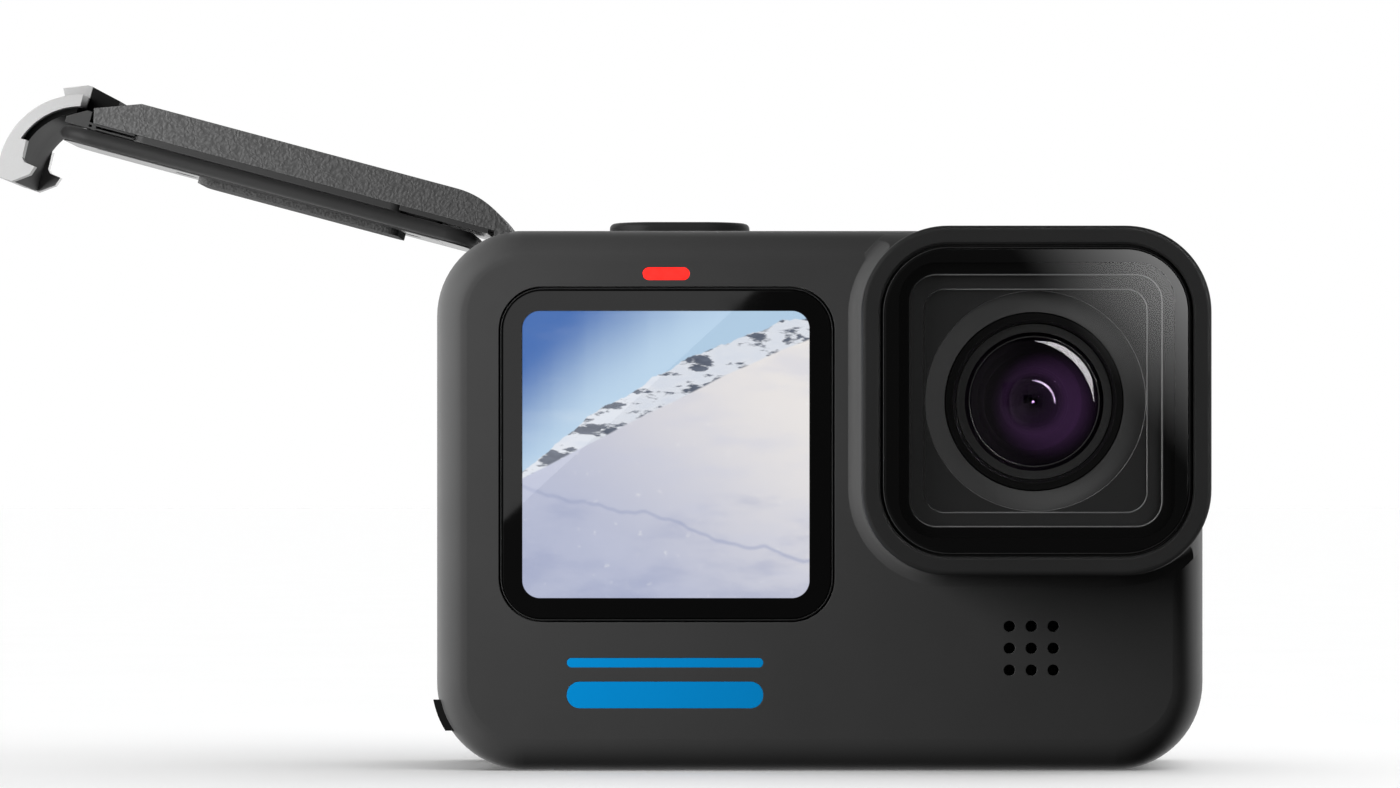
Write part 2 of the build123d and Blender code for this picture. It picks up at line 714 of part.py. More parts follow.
def make_heat_spreader():
    x0, x1, z0, z1 = BOARD
    plate = along_y(rounded((x0 + x1) / 2, (z0 + z1) / 2, x1 - x0 - 0.6, z1 - z0 - 1, 2.0), -9.2, -8.6)
    for x, z in board_screw_places():
        plate -= rod_y(x, z, 1.35, -10, -8)
    return plate


def make_card_socket():
    x0, x1, y0, y1, z0, z1 = CARD
    socket = block(x0 + 0.9, x1 + 1.0, BOARD_BACK, y1 + 0.4, z0 - 0.8, z1 + 0.8)
    return socket - block(x0 - 1, x1 + 0.1, y0 - 0.05, y1 + 0.05, z0 - 0.05, z1 + 0.05)


def make_memory_card():
    x0, x1, y0, y1, z0, z1 = CARD
    card = block(x0, x1, y0, y1, z0, z1)
    return chamfer(card.edges().filter_by(Axis.Y).group_by(Axis.X)[-1].sort_by(Axis.Z)[-1], 1.2)


def make_usb_board():
    return block(-28.9, -12.0, -4.6, 7.8, 40.2, 41.0)


def make_usb_connector():
    shell = along_x(rounded(DOOR_MIDDLE + 1.0, 42.75, 8.94, 3.26, 1.5), -29.0, -21.6)
    shell -= along_x(rounded(DOOR_MIDDLE + 1.0, 42.75, 8.34, 2.66, 1.2), -30.0, -22.2)
    tongue = along_x(rounded(DOOR_MIDDLE + 1.0, 42.75, 6.7, 0.7, 0.2), -28.2, -22.1)
    foot = block(-28.0, -22.6, DOOR_MIDDLE - 1.6, DOOR_MIDDLE + 3.6, 41.0, 41.25)
    return shell + tongue + foot


# ---- Buttons ----------------------------------------------------------------------------------
def make_shutter_button():
    top = BODY_HEIGHT + SHUTTER_PROUD
    corner = SHUTTER_WIDTH / 2 - 0.05
    cap = along_z(RectangleRounded(SHUTTER_LENGTH, SHUTTER_WIDTH, corner), BODY_HEIGHT - WALL, top)
    cap = fillet(cap.edges().filter_by_position(Axis.Z, top - 0.01, top + 0.01), 0.5)
    flange_top = BODY_HEIGHT - WALL - BUTTON_SEAL - 0.02
    flange = along_z(
        RectangleRounded(SHUTTER_LENGTH + 1.6, SHUTTER_WIDTH + 1.6, corner + 0.8),
        flange_top - BUTTON_FLANGE,
        flange_top,
    )
    neck = along_z(RectangleRounded(SHUTTER_LENGTH, SHUTTER_WIDTH, corner), flange_top - 0.1, BODY_HEIGHT - 1)
    plunger = along_z(Circle(1.3), 47.2, flange_top - 0.1)
    ring = along_z(Circle(3.05) - Circle(2.55), top - 0.2, top + 1)
    return Pos(SHUTTER_X, SHUTTER_Y, 0) * (cap + flange + neck + plunger - ring)


def shutter_seal():
    top = BODY_HEIGHT - WALL - 0.01
    outer = RectangleRounded(SHUTTER_LENGTH + 1.6, SHUTTER_WIDTH + 1.6, SHUTTER_WIDTH / 2 + 0.75)
    inner = RectangleRounded(SHUTTER_LENGTH + 0.1, SHUTTER_WIDTH + 0.1, SHUTTER_WIDTH / 2)
    return Pos(SHUTTER_X, SHUTTER_Y, 0) * along_z(outer - inner, top - BUTTON_SEAL, top)


def make_shutter_switch():
    body = block(-2.3, 2.3, -2.3, 2.3, 44.9, 46.2)
    board = block(-7.0, 7.0, -3.0, 3.0, 44.3, 44.9)
    dome = along_z(Circle(1.4), 46.2, 46.7)
    return Pos(SHUTTER_X, SHUTTER_Y, 0) * (body + board + dome)


def make_mode_button():
    outer = SIDE + 0.1
    inner_wall = SIDE - WALL
    slot = SlotOverall(MODE_LENGTH, MODE_WIDTH, rotation=90)
    cap = along_x(slot, inner_wall - 0.3, outer)
    cap = fillet(cap.edges().filter_by_position(Axis.X, outer - 0.01, outer + 0.01), 0.3)
    flange_right = inner_wall - BUTTON_SEAL - 0.02
    flange = along_x(
        SlotOverall(MODE_LENGTH + 1.4, MODE_WIDTH + 1.4, rotation=90), flange_right - BUTTON_FLANGE, flange_right
    )
    plunger = along_x(Circle(1.1), 32.7, flange_right - 0.1)
    return Pos(0, MODE_Y, MODE_Z) * (cap + flange + plunger)


def mode_seal():
    right = SIDE - WALL - 0.01
    ring = SlotOverall(MODE_LENGTH + 1.4, MODE_WIDTH + 1.4, rotation=90) - SlotOverall(
        MODE_LENGTH + 0.1, MODE_WIDTH + 0.1, rotation=90
    )
    return Pos(0, MODE_Y, MODE_Z) * along_x(ring, right - BUTTON_SEAL, right)


def make_mode_switch():
    body = block(30.8, 31.8, -1.9, 1.9, -1.9, 1.9)
    board = block(30.2, 30.8, -2.6, 2.6, -5.0, 5.0)
    dome = along_x(Circle(1.1), 31.8, 32.2)
    return Pos(0, MODE_Y, MODE_Z) * (body + board + dome)


# ---- Sound and lights -------------------------------------------------------------------------
def make_microphone():
    size = 3 * MIC_PITCH + 1.4
    case = along_y(rounded(MIC_X, MIC_Z, size, size, 0.8), -10.2, -8.6)
    return case + along_y(rounded(MIC_X, MIC_Z, size - 1.6, size - 1.6, 0.5), -8.7, -8.0)


def make_microphone_membrane():
    size = 3 * MIC_PITCH + 1.4
    return along_y(rounded(MIC_X, MIC_Z, size, size, 0.8), FRONT_WALL_BACK, -10.22)


def make_speaker():
    return fillet(block(28.0, SIDE - WALL - 0.05, -0.6, 6.6, 8.6, 15.6).edges().filter_by(Axis.X), 0.8)


def front_status_light():
    slot = Pos(LIGHT_X, LIGHT_Z) * SlotOverall(LIGHT_LENGTH - 0.04, LIGHT_HEIGHT - 0.04)
    light = along_y(slot, FRONT_FACE, FRONT_WALL_BACK)
    flange = along_y(rounded(LIGHT_X, LIGHT_Z, LIGHT_LENGTH + 0.8, LIGHT_HEIGHT + 0.4, 0.4), FRONT_WALL_BACK, -10.1)
    return light + flange


def rear_status_light():
    slot = Pos(REAR_LIGHT_X, REAR_LIGHT_Z) * SlotOverall(2.96, 0.86)
    return along_y(slot, CAVITY_BACK, REAR_FACE)


def make_accent_bars():
    bars = [along_y(bar, FRONT_FACE, FRONT_FACE + ACCENT_DEPTH) for bar in accent_bars(-0.02)]
    return as_group(bars)


# ---- Side door --------------------------------------------------------------------------------
def door_panel_outline():
    """The door's thick outer wall and its knuckle, seen from the front with the door closed."""
    inner = -SIDE + DOOR_THICK
    wall = flat(-SIDE - 1, inner, 7.7, 48.75) & body_outline()
    taper = [(-SIDE - 1, 11.9), (-SIDE, 11.9), (-34.3, 7.7), (inner, 8.0), (inner, 6), (-SIDE - 1, 6)]
    wall -= polygon(*taper)
    root = inner - 0.3
    arm = polygon((root, 46.9), (-31.4, 46.9), (HINGE_X, HINGE_Z), (-30.7, 49.1), (root, 48.6))
    outline = wall + arm + disc(HINGE_X, HINGE_Z, KNUCKLE)
    return outline - flat(inner, -31.0, 40.0, 46.85)


def make_door_panel():
    outline = door_panel_outline() - disc(HINGE_X, HINGE_Z, PIN + PIN_RUN)
    panel = along_y(outline, DOOR_FRONT, DOOR_BACK)
    inner = -SIDE + DOOR_THICK
    panel -= block(inner - 1.3, inner + 1, DOOR_MIDDLE - 5.1, DOOR_MIDDLE + 5.1, 7.0, 13.9)
    panel += block(inner - 1.4, inner - 0.25, DOOR_MIDDLE - 2.0, DOOR_MIDDLE + 2.0, 9.5, 10.3)
    for z in DOOR_SCREWS:
        panel -= door_screw_hole(z, 0.5, inner - 1.6)
    return panel


def door_screw_hole(z, radius, start):
    """A screw hole along X in the door."""
    return along_x(disc(DOOR_MIDDLE, z, radius), start, -28)


def gasket_path(grow):
    """The rounded path that the door's gasket follows."""
    inset = SEAL_RADIUS + 0.1
    return seal_bore(inset - grow)


def gasket_ring(radius):
    """A round cord along the gasket's path, with the door closed."""
    x = -SIDE + SEAL_DEPTH
    plane = Plane(origin=(x, 0, 0), x_dir=(0, 1, 0), z_dir=(1, 0, 0))
    path = (plane * gasket_path(0)).wires()[0]
    section = Plane(origin=path @ 0, z_dir=path % 0) * Circle(radius)
    return sweep(section, path=path, transition=Transition.RIGHT)


def make_door_liner():
    inner = -SIDE + DOOR_THICK
    lip_face = -SIDE + LIP_DEPTH
    plug_face = -SIDE + PLUG_DEPTH
    lip = along_x(rounded(DOOR_MIDDLE, 24.85, DOOR_BACK - DOOR_FRONT - 0.3, 25.9, 1.0), inner, lip_face)
    neck = along_x(rounded(DOOR_MIDDLE, 25.0, 13.0, 33.4, 1.6), inner, plug_face)
    plug = along_x(gasket_path(0.15), lip_face, plug_face - 0.02)
    strip = block(inner, inner + 0.45, DOOR_FRONT + 0.15, DOOR_BACK - 0.15, 37.7, 46.3)
    liner = lip + strip + neck + plug - gasket_ring(SEAL_RADIUS)
    for side in (-1, 1):
        liner += liner_step(side)
    for z in DOOR_SCREWS:
        liner -= door_screw_hole(z, 0.55, -36)
        liner -= door_screw_hole(z, 1.15, plug_face - 0.6)
    return liner


def liner_step(side):
    """The smooth end of the liner beside the latch, with two fine rails running up to the lip."""
    inner = -SIDE + DOOR_THICK
    corners = [(-33.95, 7.6), (-33.95, 7.1), (-32.95, 5.35), (-32.4, 5.35), (-32.4, 7.6)]
    step = polygon(*corners) + flat(inner, inner + 0.2, 5.4, 12.0)
    step += flat(inner + 0.42, inner + 0.56, 5.4, 12.0)
    step += flat(inner, -SIDE + LIP_DEPTH, 7.9, 8.3)
    low, high = sorted((DOOR_MIDDLE + side * 5.6, DOOR_MIDDLE + side * 9.2))
    return along_y(step, low, high)


def make_door_gasket():
    return gasket_ring(SEAL_RADIUS - 0.01)


def make_door_pad():
    face = -SIDE + PLUG_DEPTH
    return along_x(rounded(DOOR_MIDDLE, 28.0, 10.4, 19.6, 1.2), face, -SIDE + PAD_DEPTH)


def make_door_screws():
    head_back = -SIDE + PLUG_DEPTH - 0.6
    door_screw = Rot(0, 90, 0) * screw(1.1, 0.5, 0.48, 2.9)
    return as_group([Pos(head_back, DOOR_MIDDLE, z) * door_screw for z in DOOR_SCREWS])


def latch_band(inset, thick, top):
    """A curved band that follows the body's lower corner, seen from the front."""
    band = body_outline(inset) - body_outline(inset + thick)
    return band & flat(-SIDE - 1, -25.8, 0, top)


def make_door_latch():
    """The latch's outer shell, with a hook at each end and a thumb ridge in the middle."""
    latch = along_y(latch_band(LATCH_INSET, LATCH_THICK, 6.4), DOOR_FRONT, DOOR_BACK)
    hook = [(-29.8, 1.2), (-25.8, 0.8), (-25.7, 2.0), (-26.75, 3.45), (-27.6, 3.75), (-27.75, 2.7),
            (-28.1, 2.4), (-29.8, 2.35)]
    hook_face = polygon(*hook)
    latch += along_y(hook_face, DOOR_FRONT, DOOR_FRONT + HOOK_WIDTH)
    latch += along_y(hook_face, DOOR_BACK - HOOK_WIDTH, DOOR_BACK)
    ridge = [(-35.55, 3.7), (-36.42, 5.9), (-36.42, 6.4), (-34.6, 6.4), (-34.0, 4.5)]
    ridge_face = polygon(*ridge)
    latch += along_y(ridge_face, DOOR_MIDDLE - RIDGE_HALF, DOOR_MIDDLE + RIDGE_HALF)
    return latch


def make_latch_slide():
    """The dark slide inside the latch: a lining, a thumb ramp and a tongue that runs in the panel."""
    inner = -SIDE + DOOR_THICK
    inset = LATCH_INSET + LATCH_THICK
    slide = along_y(latch_band(inset, SLIDE_THICK, 6.0), DOOR_FRONT + HOOK_WIDTH, DOOR_BACK - HOOK_WIDTH)
    ramp = [(-36.38, 6.42), (-35.75, 9.2), (-34.98, 9.2), (-34.45, 7.6), (-34.45, 6.42)]
    ramp_face = polygon(*ramp)
    slide += along_y(ramp_face, DOOR_MIDDLE - RIDGE_HALF, DOOR_MIDDLE + RIDGE_HALF)
    slide += block(-34.6, inner - 0.15, DOOR_MIDDLE - RIDGE_HALF, DOOR_MIDDLE + RIDGE_HALF, 6.42, 7.5)
    foot = polygon((-34.3, 6.5), (-33.7, 5.2), (-33.2, 5.2), (inner - 0.15, 6.5))
    slide += along_y(foot, DOOR_MIDDLE - RIDGE_HALF, DOOR_MIDDLE + RIDGE_HALF) - along_y(
        body_outline(0) - body_outline(inset), -20, 20
    )
    tongue = block(inner - 1.2, inner - 0.15, DOOR_MIDDLE - 4.9, DOOR_MIDDLE + 4.9, 7.4, 13.6)
    return slide + tongue - block(inner - 2, inner + 1, DOOR_MIDDLE - 2.2, DOOR_MIDDLE + 2.2, 8.0, 12.9)


def make_latch_spring():
    """The latch's return spring, at the length it has when the latch is fully pressed."""
    x = -SIDE + DOOR_THICK - 0.68
    coil = Helix(pitch=0.28, height=1.12, radius=0.38)
    section = Plane(origin=coil @ 0, z_dir=coil % 0) * Circle(0.1)
    return Pos(x, DOOR_MIDDLE, 10.42) * sweep(section, path=coil, is_frenet=True)


def make_hinge_pin():
    return rod_y(HINGE_X, HINGE_Z, PIN, PIN_FRONT + 0.05, PIN_BACK - 0.05)


def make_latch_guard():
    """The small dark stop on the front cover's lower corner that shields the latch."""
    return along_y(guard_outline(0.4), PARTING - GUARD_DEPTH, PARTING)


# ---- Folding fingers --------------------------------------------------------------------------
def make_finger(side):
    """One mounting finger, folded flat; side is -1 for the left one and 1 for the right one."""
    low = FINGER_PIVOT_Z - FINGER_THICK / 2
    high = FINGER_PIVOT_Z + FINGER_THICK / 2
    eye = Pos(FINGER_EYE_X, 0) * Circle(FINGER_EYE_RADIUS)
    arm = flat(FINGER_PIVOT_X + 0.3, FINGER_EYE_X, -FINGER_EYE_RADIUS + 0.5, FINGER_EYE_RADIUS - 0.5)
    plate = along_z(eye + arm, low, high)
    plate = fillet(plate.edges().filter_by_position(Axis.Z, low - 0.01, low + 0.01), 0.35)
    half = FINGER_EYE_RADIUS - 0.5
    knuckle = rod_y(FINGER_PIVOT_X, FINGER_PIVOT_Z, FINGER_THICK / 2, -half, half)
    finger = plate + knuckle
    finger -= along_z(Pos(FINGER_EYE_X, 0) * Circle(FINGER_BORE), low - 1, high + 1)
    finger -= rod_y(FINGER_PIVOT_X, FINGER_PIVOT_Z, FINGER_PIN + 0.05, -10, 10)
    return finger if side > 0 else mirror(finger, about=Plane.YZ)


def finger_pin(side):
    return rod_y(side * FINGER_PIVOT_X, FINGER_PIVOT_Z, FINGER_PIN, -RECESS_HALF + 0.1, RECESS_HALF - 0.1)


def make_finger_bracket():
    plate = along_z(
        RectangleRounded(2 * RECESS_END - 0.3, 2 * RECESS_HALF - 0.3, FINGER_ROOM - 0.15),
        RECESS_TOP - 0.6,
        RECESS_TOP - 0.02,
    )
    rib = block(-1.3, 1.3, -RECESS_HALF + 0.15, RECESS_HALF - 0.15, 0, RECESS_TOP - 0.3)
    bracket = plate + rib
    for y0, y1 in ((-RECESS_HALF + 0.15, -6.95), (6.95, RECESS_HALF - 0.15)):
        bracket += block(-4.9, 4.9, y0, y1, 0.2, RECESS_TOP - 0.3)
    for side in (-1, 1):
        bracket -= rod_y(side * FINGER_PIVOT_X, FINGER_PIVOT_Z, FINGER_PIN, -10, 10)
        bracket -= along_z(disc(side * 17.9, 0, 0.6), 3, 5)
    return bracket


def make_bracket_screws():
    return as_group(
        [Pos(x, 0, RECESS_TOP - 0.6) * Rot(180, 0, 0) * screw(1.3, 0.3, 0.52, 1.6, 0.2) for x in (-17.9, 17.9)]
    )


# ---- The whole camera -------------------------------------------------------------------------
DOOR_PIECES = {
    "door_panel": make_door_panel,
    "door_liner": make_door_liner,
    "door_gasket": make_door_gasket,
    "door_pad": make_door_pad,
    "door_screws": make_door_screws,
    "door_latch": make_door_latch,
    "latch_slide": make_latch_slide,
    "latch_spring": make_latch_spring,
}

CAMERA_PIECES = {
    "front_cover": make_front_cover,
    "main_housing": make_main_housing,
    "front_cover_seal": seal_ring,
    "front_display_glass": make_front_display_glass,
    "front_display_panel": make_front_display_panel,
    "rear_display_glass": make_rear_display_glass,
    "rear_display_panel": make_rear_display_panel,
    "lens_cover_frame": make_lens_cover_frame,
    "lens_cover_glass": make_lens_cover_glass,
    "lens_cover_baffle": make_lens_cover_baffle,
    "lens_cover_seal": lambda: cover_seal(0.02),
    "lens_bezel": make_lens_bezel,
    "lens_barrel": make_lens_barrel,
    "lens_retaining_ring": make_retaining_ring,
    "lens_front_element": make_front_element,
    "lens_spacer": make_lens_spacer,
    "lens_second_element": make_second_element,
    "lens_rear_element": make_rear_element,
    "lens_holder": make_lens_holder,
    "lens_screws": make_lens_screws,
    "infrared_filter": make_infrared_filter,
    "image_sensor": make_image_sensor,
    "sensor_board": make_sensor_board,
    "battery_cage": make_battery_cage,
    "battery_contacts": make_battery_contacts,
    "battery": make_battery,
    "battery_pull_tab": make_battery_tab,
    "main_board": make_main_board,
    "board_screws": make_board_screws,
    "board_chips": make_board_chips,
    "heat_spreader": make_heat_spreader,
    "card_socket": make_card_socket,
    "memory_card": make_memory_card,
    "usb_board": make_usb_board,
    "usb_connector": make_usb_connector,
    "shutter_button": make_shutter_button,
    "button_seals": lambda: as_group([shutter_seal(), mode_seal()]),
    "shutter_switch": make_shutter_switch,
    "mode_button": make_mode_button,
    "mode_switch": make_mode_switch,
    "microphone": make_microphone,
    "microphone_membrane": make_microphone_membrane,
    "speaker": make_speaker,
    "status_lights": lambda: as_group([front_status_light(), rear_status_light()]),
    "accent_bars": make_accent_bars,
    "hinge_pin": make_hinge_pin,
    "latch_guard": make_latch_guard,
    "finger_left": lambda: make_finger(-1),
    "finger_right": lambda: make_finger(1),
    "finger_pins": lambda: as_group([finger_pin(-1), finger_pin(1)]),
    "finger_bracket": make_finger_bracket,
    "bracket_screws": make_bracket_screws,
}

for name, make in CAMERA_PIECES.items():
    export_step(make(), f"parts/{name}.step")
for name, make in DOOR_PIECES.items():
    export_step(open_door(make()), f"parts/{name}.step")
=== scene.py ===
"""Looks, light and camera for the action camera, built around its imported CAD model.

Blender works in metres. Patterns are worked out in millimetres of the part's own frame:
X runs across the front face, Y runs from front to back and Z points up.
"""

import math

import bpy
import mathutils
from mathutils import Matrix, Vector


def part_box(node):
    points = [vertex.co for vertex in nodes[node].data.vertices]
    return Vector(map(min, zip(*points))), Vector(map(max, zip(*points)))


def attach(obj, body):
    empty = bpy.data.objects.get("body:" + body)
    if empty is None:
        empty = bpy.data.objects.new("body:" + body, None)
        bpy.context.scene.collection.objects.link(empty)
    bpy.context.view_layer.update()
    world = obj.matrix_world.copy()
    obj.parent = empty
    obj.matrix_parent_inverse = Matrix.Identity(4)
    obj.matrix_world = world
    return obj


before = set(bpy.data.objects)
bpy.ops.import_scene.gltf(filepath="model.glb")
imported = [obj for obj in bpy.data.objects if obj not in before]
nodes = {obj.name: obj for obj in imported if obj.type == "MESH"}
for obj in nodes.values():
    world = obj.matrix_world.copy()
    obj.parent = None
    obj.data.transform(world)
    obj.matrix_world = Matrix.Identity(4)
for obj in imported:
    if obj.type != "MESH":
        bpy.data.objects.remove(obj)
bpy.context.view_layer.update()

MM = 0.001


def in_mm(node):
    """A CAD node's lowest and highest corner in millimetres."""
    low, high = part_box(node)
    return [c / MM for c in low], [c / MM for c in high]


def middle(node):
    """The centre of a CAD node's box in millimetres."""
    low, high = in_mm(node)
    return [(a + b) / 2 for a, b in zip(low, high)]


LENS_X, _, LENS_Z = middle("lens_barrel")
LENS = (LENS_X, LENS_Z)


# ---- Node building ----------------------------------------------------------------------------
def tone(red, green=None, blue=None):
    """A colour given as 0-255 display values, turned into linear light."""
    parts = (red, red if green is None else green, red if blue is None else blue)
    linear = [((p / 255 + 0.055) / 1.055) ** 2.4 if p > 10 else p / 255 / 12.92 for p in parts]
    return (*linear, 1.0)


def shaded(shade, factor, lift=0.0):
    """A colour made darker or lighter, without passing full brightness."""
    return (*(min(1.0, c * factor + lift) for c in shade[:3]), 1.0)


class Graph:
    """One node-based material. Every method gives back the socket that carries its result."""

    def __init__(self, name, tree=None):
        if tree is None:
            self.material = bpy.data.materials.new(name)
            self.material.use_nodes = True
            tree = self.material.node_tree
        self.tree = tree
        self.tree.nodes.clear()
        self.point = None

    def node(self, kind, inputs=None, **settings):
        """Adds a shader node with its inputs fed and its settings made."""
        made = self.tree.nodes.new("ShaderNode" + kind)
        for key, value in settings.items():
            setattr(made, key, value)
        for key, value in (inputs or {}).items():
            self.feed(made.inputs[key], value)
        return made

    def feed(self, socket, value):
        """Links another socket in, or sets a plain value."""
        if isinstance(value, bpy.types.NodeSocket):
            self.tree.links.new(value, socket)
        else:
            socket.default_value = value

    def place(self):
        """The shaded point in millimetres of the part's frame."""
        if self.point is None:
            here = self.node("TexCoord").outputs["Object"]
            scaled = self.node("VectorMath", {0: here, "Scale": 1 / MM}, operation="SCALE")
            self.point = scaled.outputs[0]
        return self.point

    def axes(self):
        """The shaded point's X, Y and Z in millimetres."""
        return self.node("SeparateXYZ", {0: self.place()}).outputs[:]

    def math(self, operation, a, b=0.0, clamp=False):
        """One sum on plain values or sockets, held to 0-1 if clamp is set."""
        return self.node("Math", {0: a, 1: b}, operation=operation, use_clamp=clamp).outputs[0]

    def total(self, start, *terms):
        """start plus each (socket, factor) product."""
        result = start
        for socket, factor in terms:
            result = self.math("ADD", self.math("MULTIPLY", socket, factor), result)
        return result

    def step(self, value, low, high, out_low=0.0, out_high=1.0):
        """A smooth step of a value from low to high."""
        inputs = {"Value": value, "From Min": low, "From Max": high, "To Min": out_low, "To Max": out_high}
        return self.node("MapRange", inputs, interpolation_type="SMOOTHSTEP").outputs["Result"]

    def band(self, value, low, high):
        """1 where a value lies between two limits, with a hard edge."""
        above = self.math("GREATER_THAN", value, low)
        return self.math("MULTIPLY", above, self.math("LESS_THAN", value, high))

    def length(self, a, b):
        """The length of an offset with two parts at right angles."""
        return self.math("SQRT", self.math("ADD", self.math("POWER", a, 2.0), self.math("POWER", b, 2.0)))

    def stripe(self, value, count):
        """Thin level lines of a smooth value, such as traces that follow one another round a board."""
        wave = self.math("SINE", self.math("MULTIPLY", value, count * 2 * math.pi))
        return self.step(wave, 0.35, 0.6)

    def mix(self, factor, a, b):
        """Colour a at factor 0, turning into colour b at factor 1."""
        made = self.node("Mix", data_type="RGBA")
        for index, value in ((0, factor), (6, a), (7, b)):
            self.feed(made.inputs[index], value)
        return made.outputs[2]

    def stretched(self, stretch):
        """The shaded point with its axes multiplied, for patterns longer one way than another."""
        return self.node("Mapping", {"Vector": self.place(), "Scale": stretch}).outputs[0]

    def noise(self, size, detail=2.0, stretch=None, at=None):
        """Cloudy noise from 0 to 1 with blobs about `size` millimetres across."""
        where = at or (self.stretched(stretch) if stretch else self.place())
        inputs = {"Vector": where, "Scale": 1 / size, "Detail": detail, "Roughness": 0.55}
        return self.node("TexNoise", inputs).outputs["Fac"]

    def cells(self, size, feature="F1", at=None):
        """Distance to the nearest of scattered points about `size` millimetres apart."""
        made = self.node("TexVoronoi", {"Vector": at or self.place(), "Scale": 1 / size}, feature=feature)
        return made.outputs["Distance"]

    def edge(self, radius):
        """1 along sharp edges and 0 on open faces, from how far a rounded normal leaves the true one."""
        true = self.node("NewGeometry").outputs["Normal"]
        dot = self.node("VectorMath", {0: self.rounded_normal(radius), 1: true}, operation="DOT_PRODUCT")
        return self.step(dot.outputs["Value"], 0.985, 0.86)

    def rounded_normal(self, radius):
        """The normal as if sharp edges were rounded to a radius in millimetres."""
        return self.node("Bevel", {"Radius": radius * MM}, samples=4).outputs[0]

    def bump(self, *layers, normal=None):
        """Stacks (height socket, depth in mm) layers into one normal."""
        for height, depth in layers:
            made = self.node("Bump", {"Height": height, "Distance": depth * MM, "Strength": 1.0})
            if normal is not None:
                self.feed(made.inputs["Normal"], normal)
            normal = made.outputs[0]
        return normal

    def surface(self, colour, roughness, normal=None, **inputs):
        """Ends the material in a Principled shader. Input names are given with _ for spaces."""
        settings = {"Base Color": colour, "Roughness": roughness}
        settings.update({key.replace("_", " "): value for key, value in inputs.items()})
        made = self.node("BsdfPrincipled", settings)
        if normal is not None:
            self.feed(made.inputs["Normal"], normal)
        return made.outputs[0]

    def finish(self, shader):
        """Makes the shader the material's surface and gives back the material."""
        out = self.node("OutputMaterial")
        self.tree.links.new(shader, out.inputs["Surface"])
        return self.material


# ---- Materials: mouldings, rubber and metal ----------------------------------------------------
def moulded(name, shade, roughness, grain=0.14, depth=0.004, wear=0.25, rounding=0.08, **more):
    """Moulded plastic or rubber: fine spark grain, faint blotches, and edges polished by handling."""
    g = Graph(name)
    blotch = g.noise(9.0, 3.0)
    speckle = g.noise(grain * 1.6, 1.0)
    edge = g.edge(rounding * 1.5)
    mottle = g.total(0.0, (blotch, 0.7), (speckle, 0.3))
    colour = g.mix(mottle, shaded(shade, 0.86), shaded(shade, 1.12))
    colour = g.mix(g.math("MULTIPLY", edge, wear), colour, shaded(shade, 1.7, lift=0.01))
    rough = g.total(roughness, (g.math("SUBTRACT", blotch, 0.5), 0.14), (edge, -0.12 * wear))
    normal = g.bump((g.noise(grain, 2.0), depth), normal=g.rounded_normal(rounding))
    return g.finish(g.surface(colour, rough, normal, **more))


def metal(name, shade, roughness, run=(1.0, 1.0, 12.0), depth=0.002, **more):
    """Metal with fine tool marks across one axis, smudges and slightly rounded edges."""
    g = Graph(name)
    lines = g.noise(0.5, 3.0, stretch=run)
    smudge = g.noise(4.0, 3.0)
    colour = g.mix(g.total(0.0, (lines, 0.5), (smudge, 0.5)), shaded(shade, 0.8), shade)
    rough = g.total(roughness, (g.math("SUBTRACT", smudge, 0.5), 0.2), (g.math("SUBTRACT", lines, 0.5), 0.12))
    normal = g.bump((lines, depth), normal=g.rounded_normal(0.05))
    return g.finish(g.surface(colour, rough, normal, Metallic=1.0, **more))


def pebbled(name, shade, roughness, size, depth):
    """The door panel's leathery grain: small raised pebbles with smooth valleys between them, painted darker
    as shade.
    """
    g = Graph(name)
    sway = g.noise(1.2, 2.0)
    wander = g.node("VectorMath", {0: g.place(), 1: sway}, operation="ADD").outputs[0]
    pebble = g.step(g.cells(size, feature="SMOOTH_F1", at=wander), 0.75, 0.1)
    fine = g.noise(size * 0.5, 3.0)
    edge = g.edge(0.2)
    # The valleys are painted darker than the pebble tops: painted shade.
    colour = g.mix(g.total(0.0, (pebble, 0.75), (fine, 0.25)), shaded(shade, 0.62), shade)
    colour = g.mix(g.math("MULTIPLY", edge, 0.3), colour, shaded(shade, 1.6))
    rough = g.total(roughness, (pebble, -0.1), (fine, 0.1))
    normal = g.bump((pebble, depth), (fine, depth * 0.5), normal=g.rounded_normal(0.1))
    return g.finish(g.surface(colour, rough, normal))


def foam(name, shade):
    """Fine open-cell foam, its pits painted darker as shade."""
    g = Graph(name)
    cell = g.cells(0.22)
    # The pits are painted darker: painted shade.
    colour = g.mix(cell, shaded(shade, 0.4), shade)
    normal = g.bump((cell, 0.06), (g.noise(1.5), 0.05))
    return g.finish(g.surface(colour, 0.95, normal))


def woven_mesh(name, shade, pitch, across, up):
    """A fine woven or punched mesh; across and up are the two axes it lies in. The gaps between threads are
    painted near black, as painted shade.
    """
    g = Graph(name)
    axis = g.axes()
    warp, weft = (g.math("ABSOLUTE", g.math("SINE", g.math("MULTIPLY", axis[i], math.pi / pitch)))
                  for i in (across, up))
    thread = g.math("MAXIMUM", warp, weft)
    # The gaps between threads are painted near black: painted shade.
    colour = g.mix(g.step(thread, 0.55, 0.95), (0.004, 0.004, 0.004, 1.0), shade)
    normal = g.bump((thread, 0.03))
    return g.finish(g.surface(colour, 0.6, normal, Metallic=0.3))


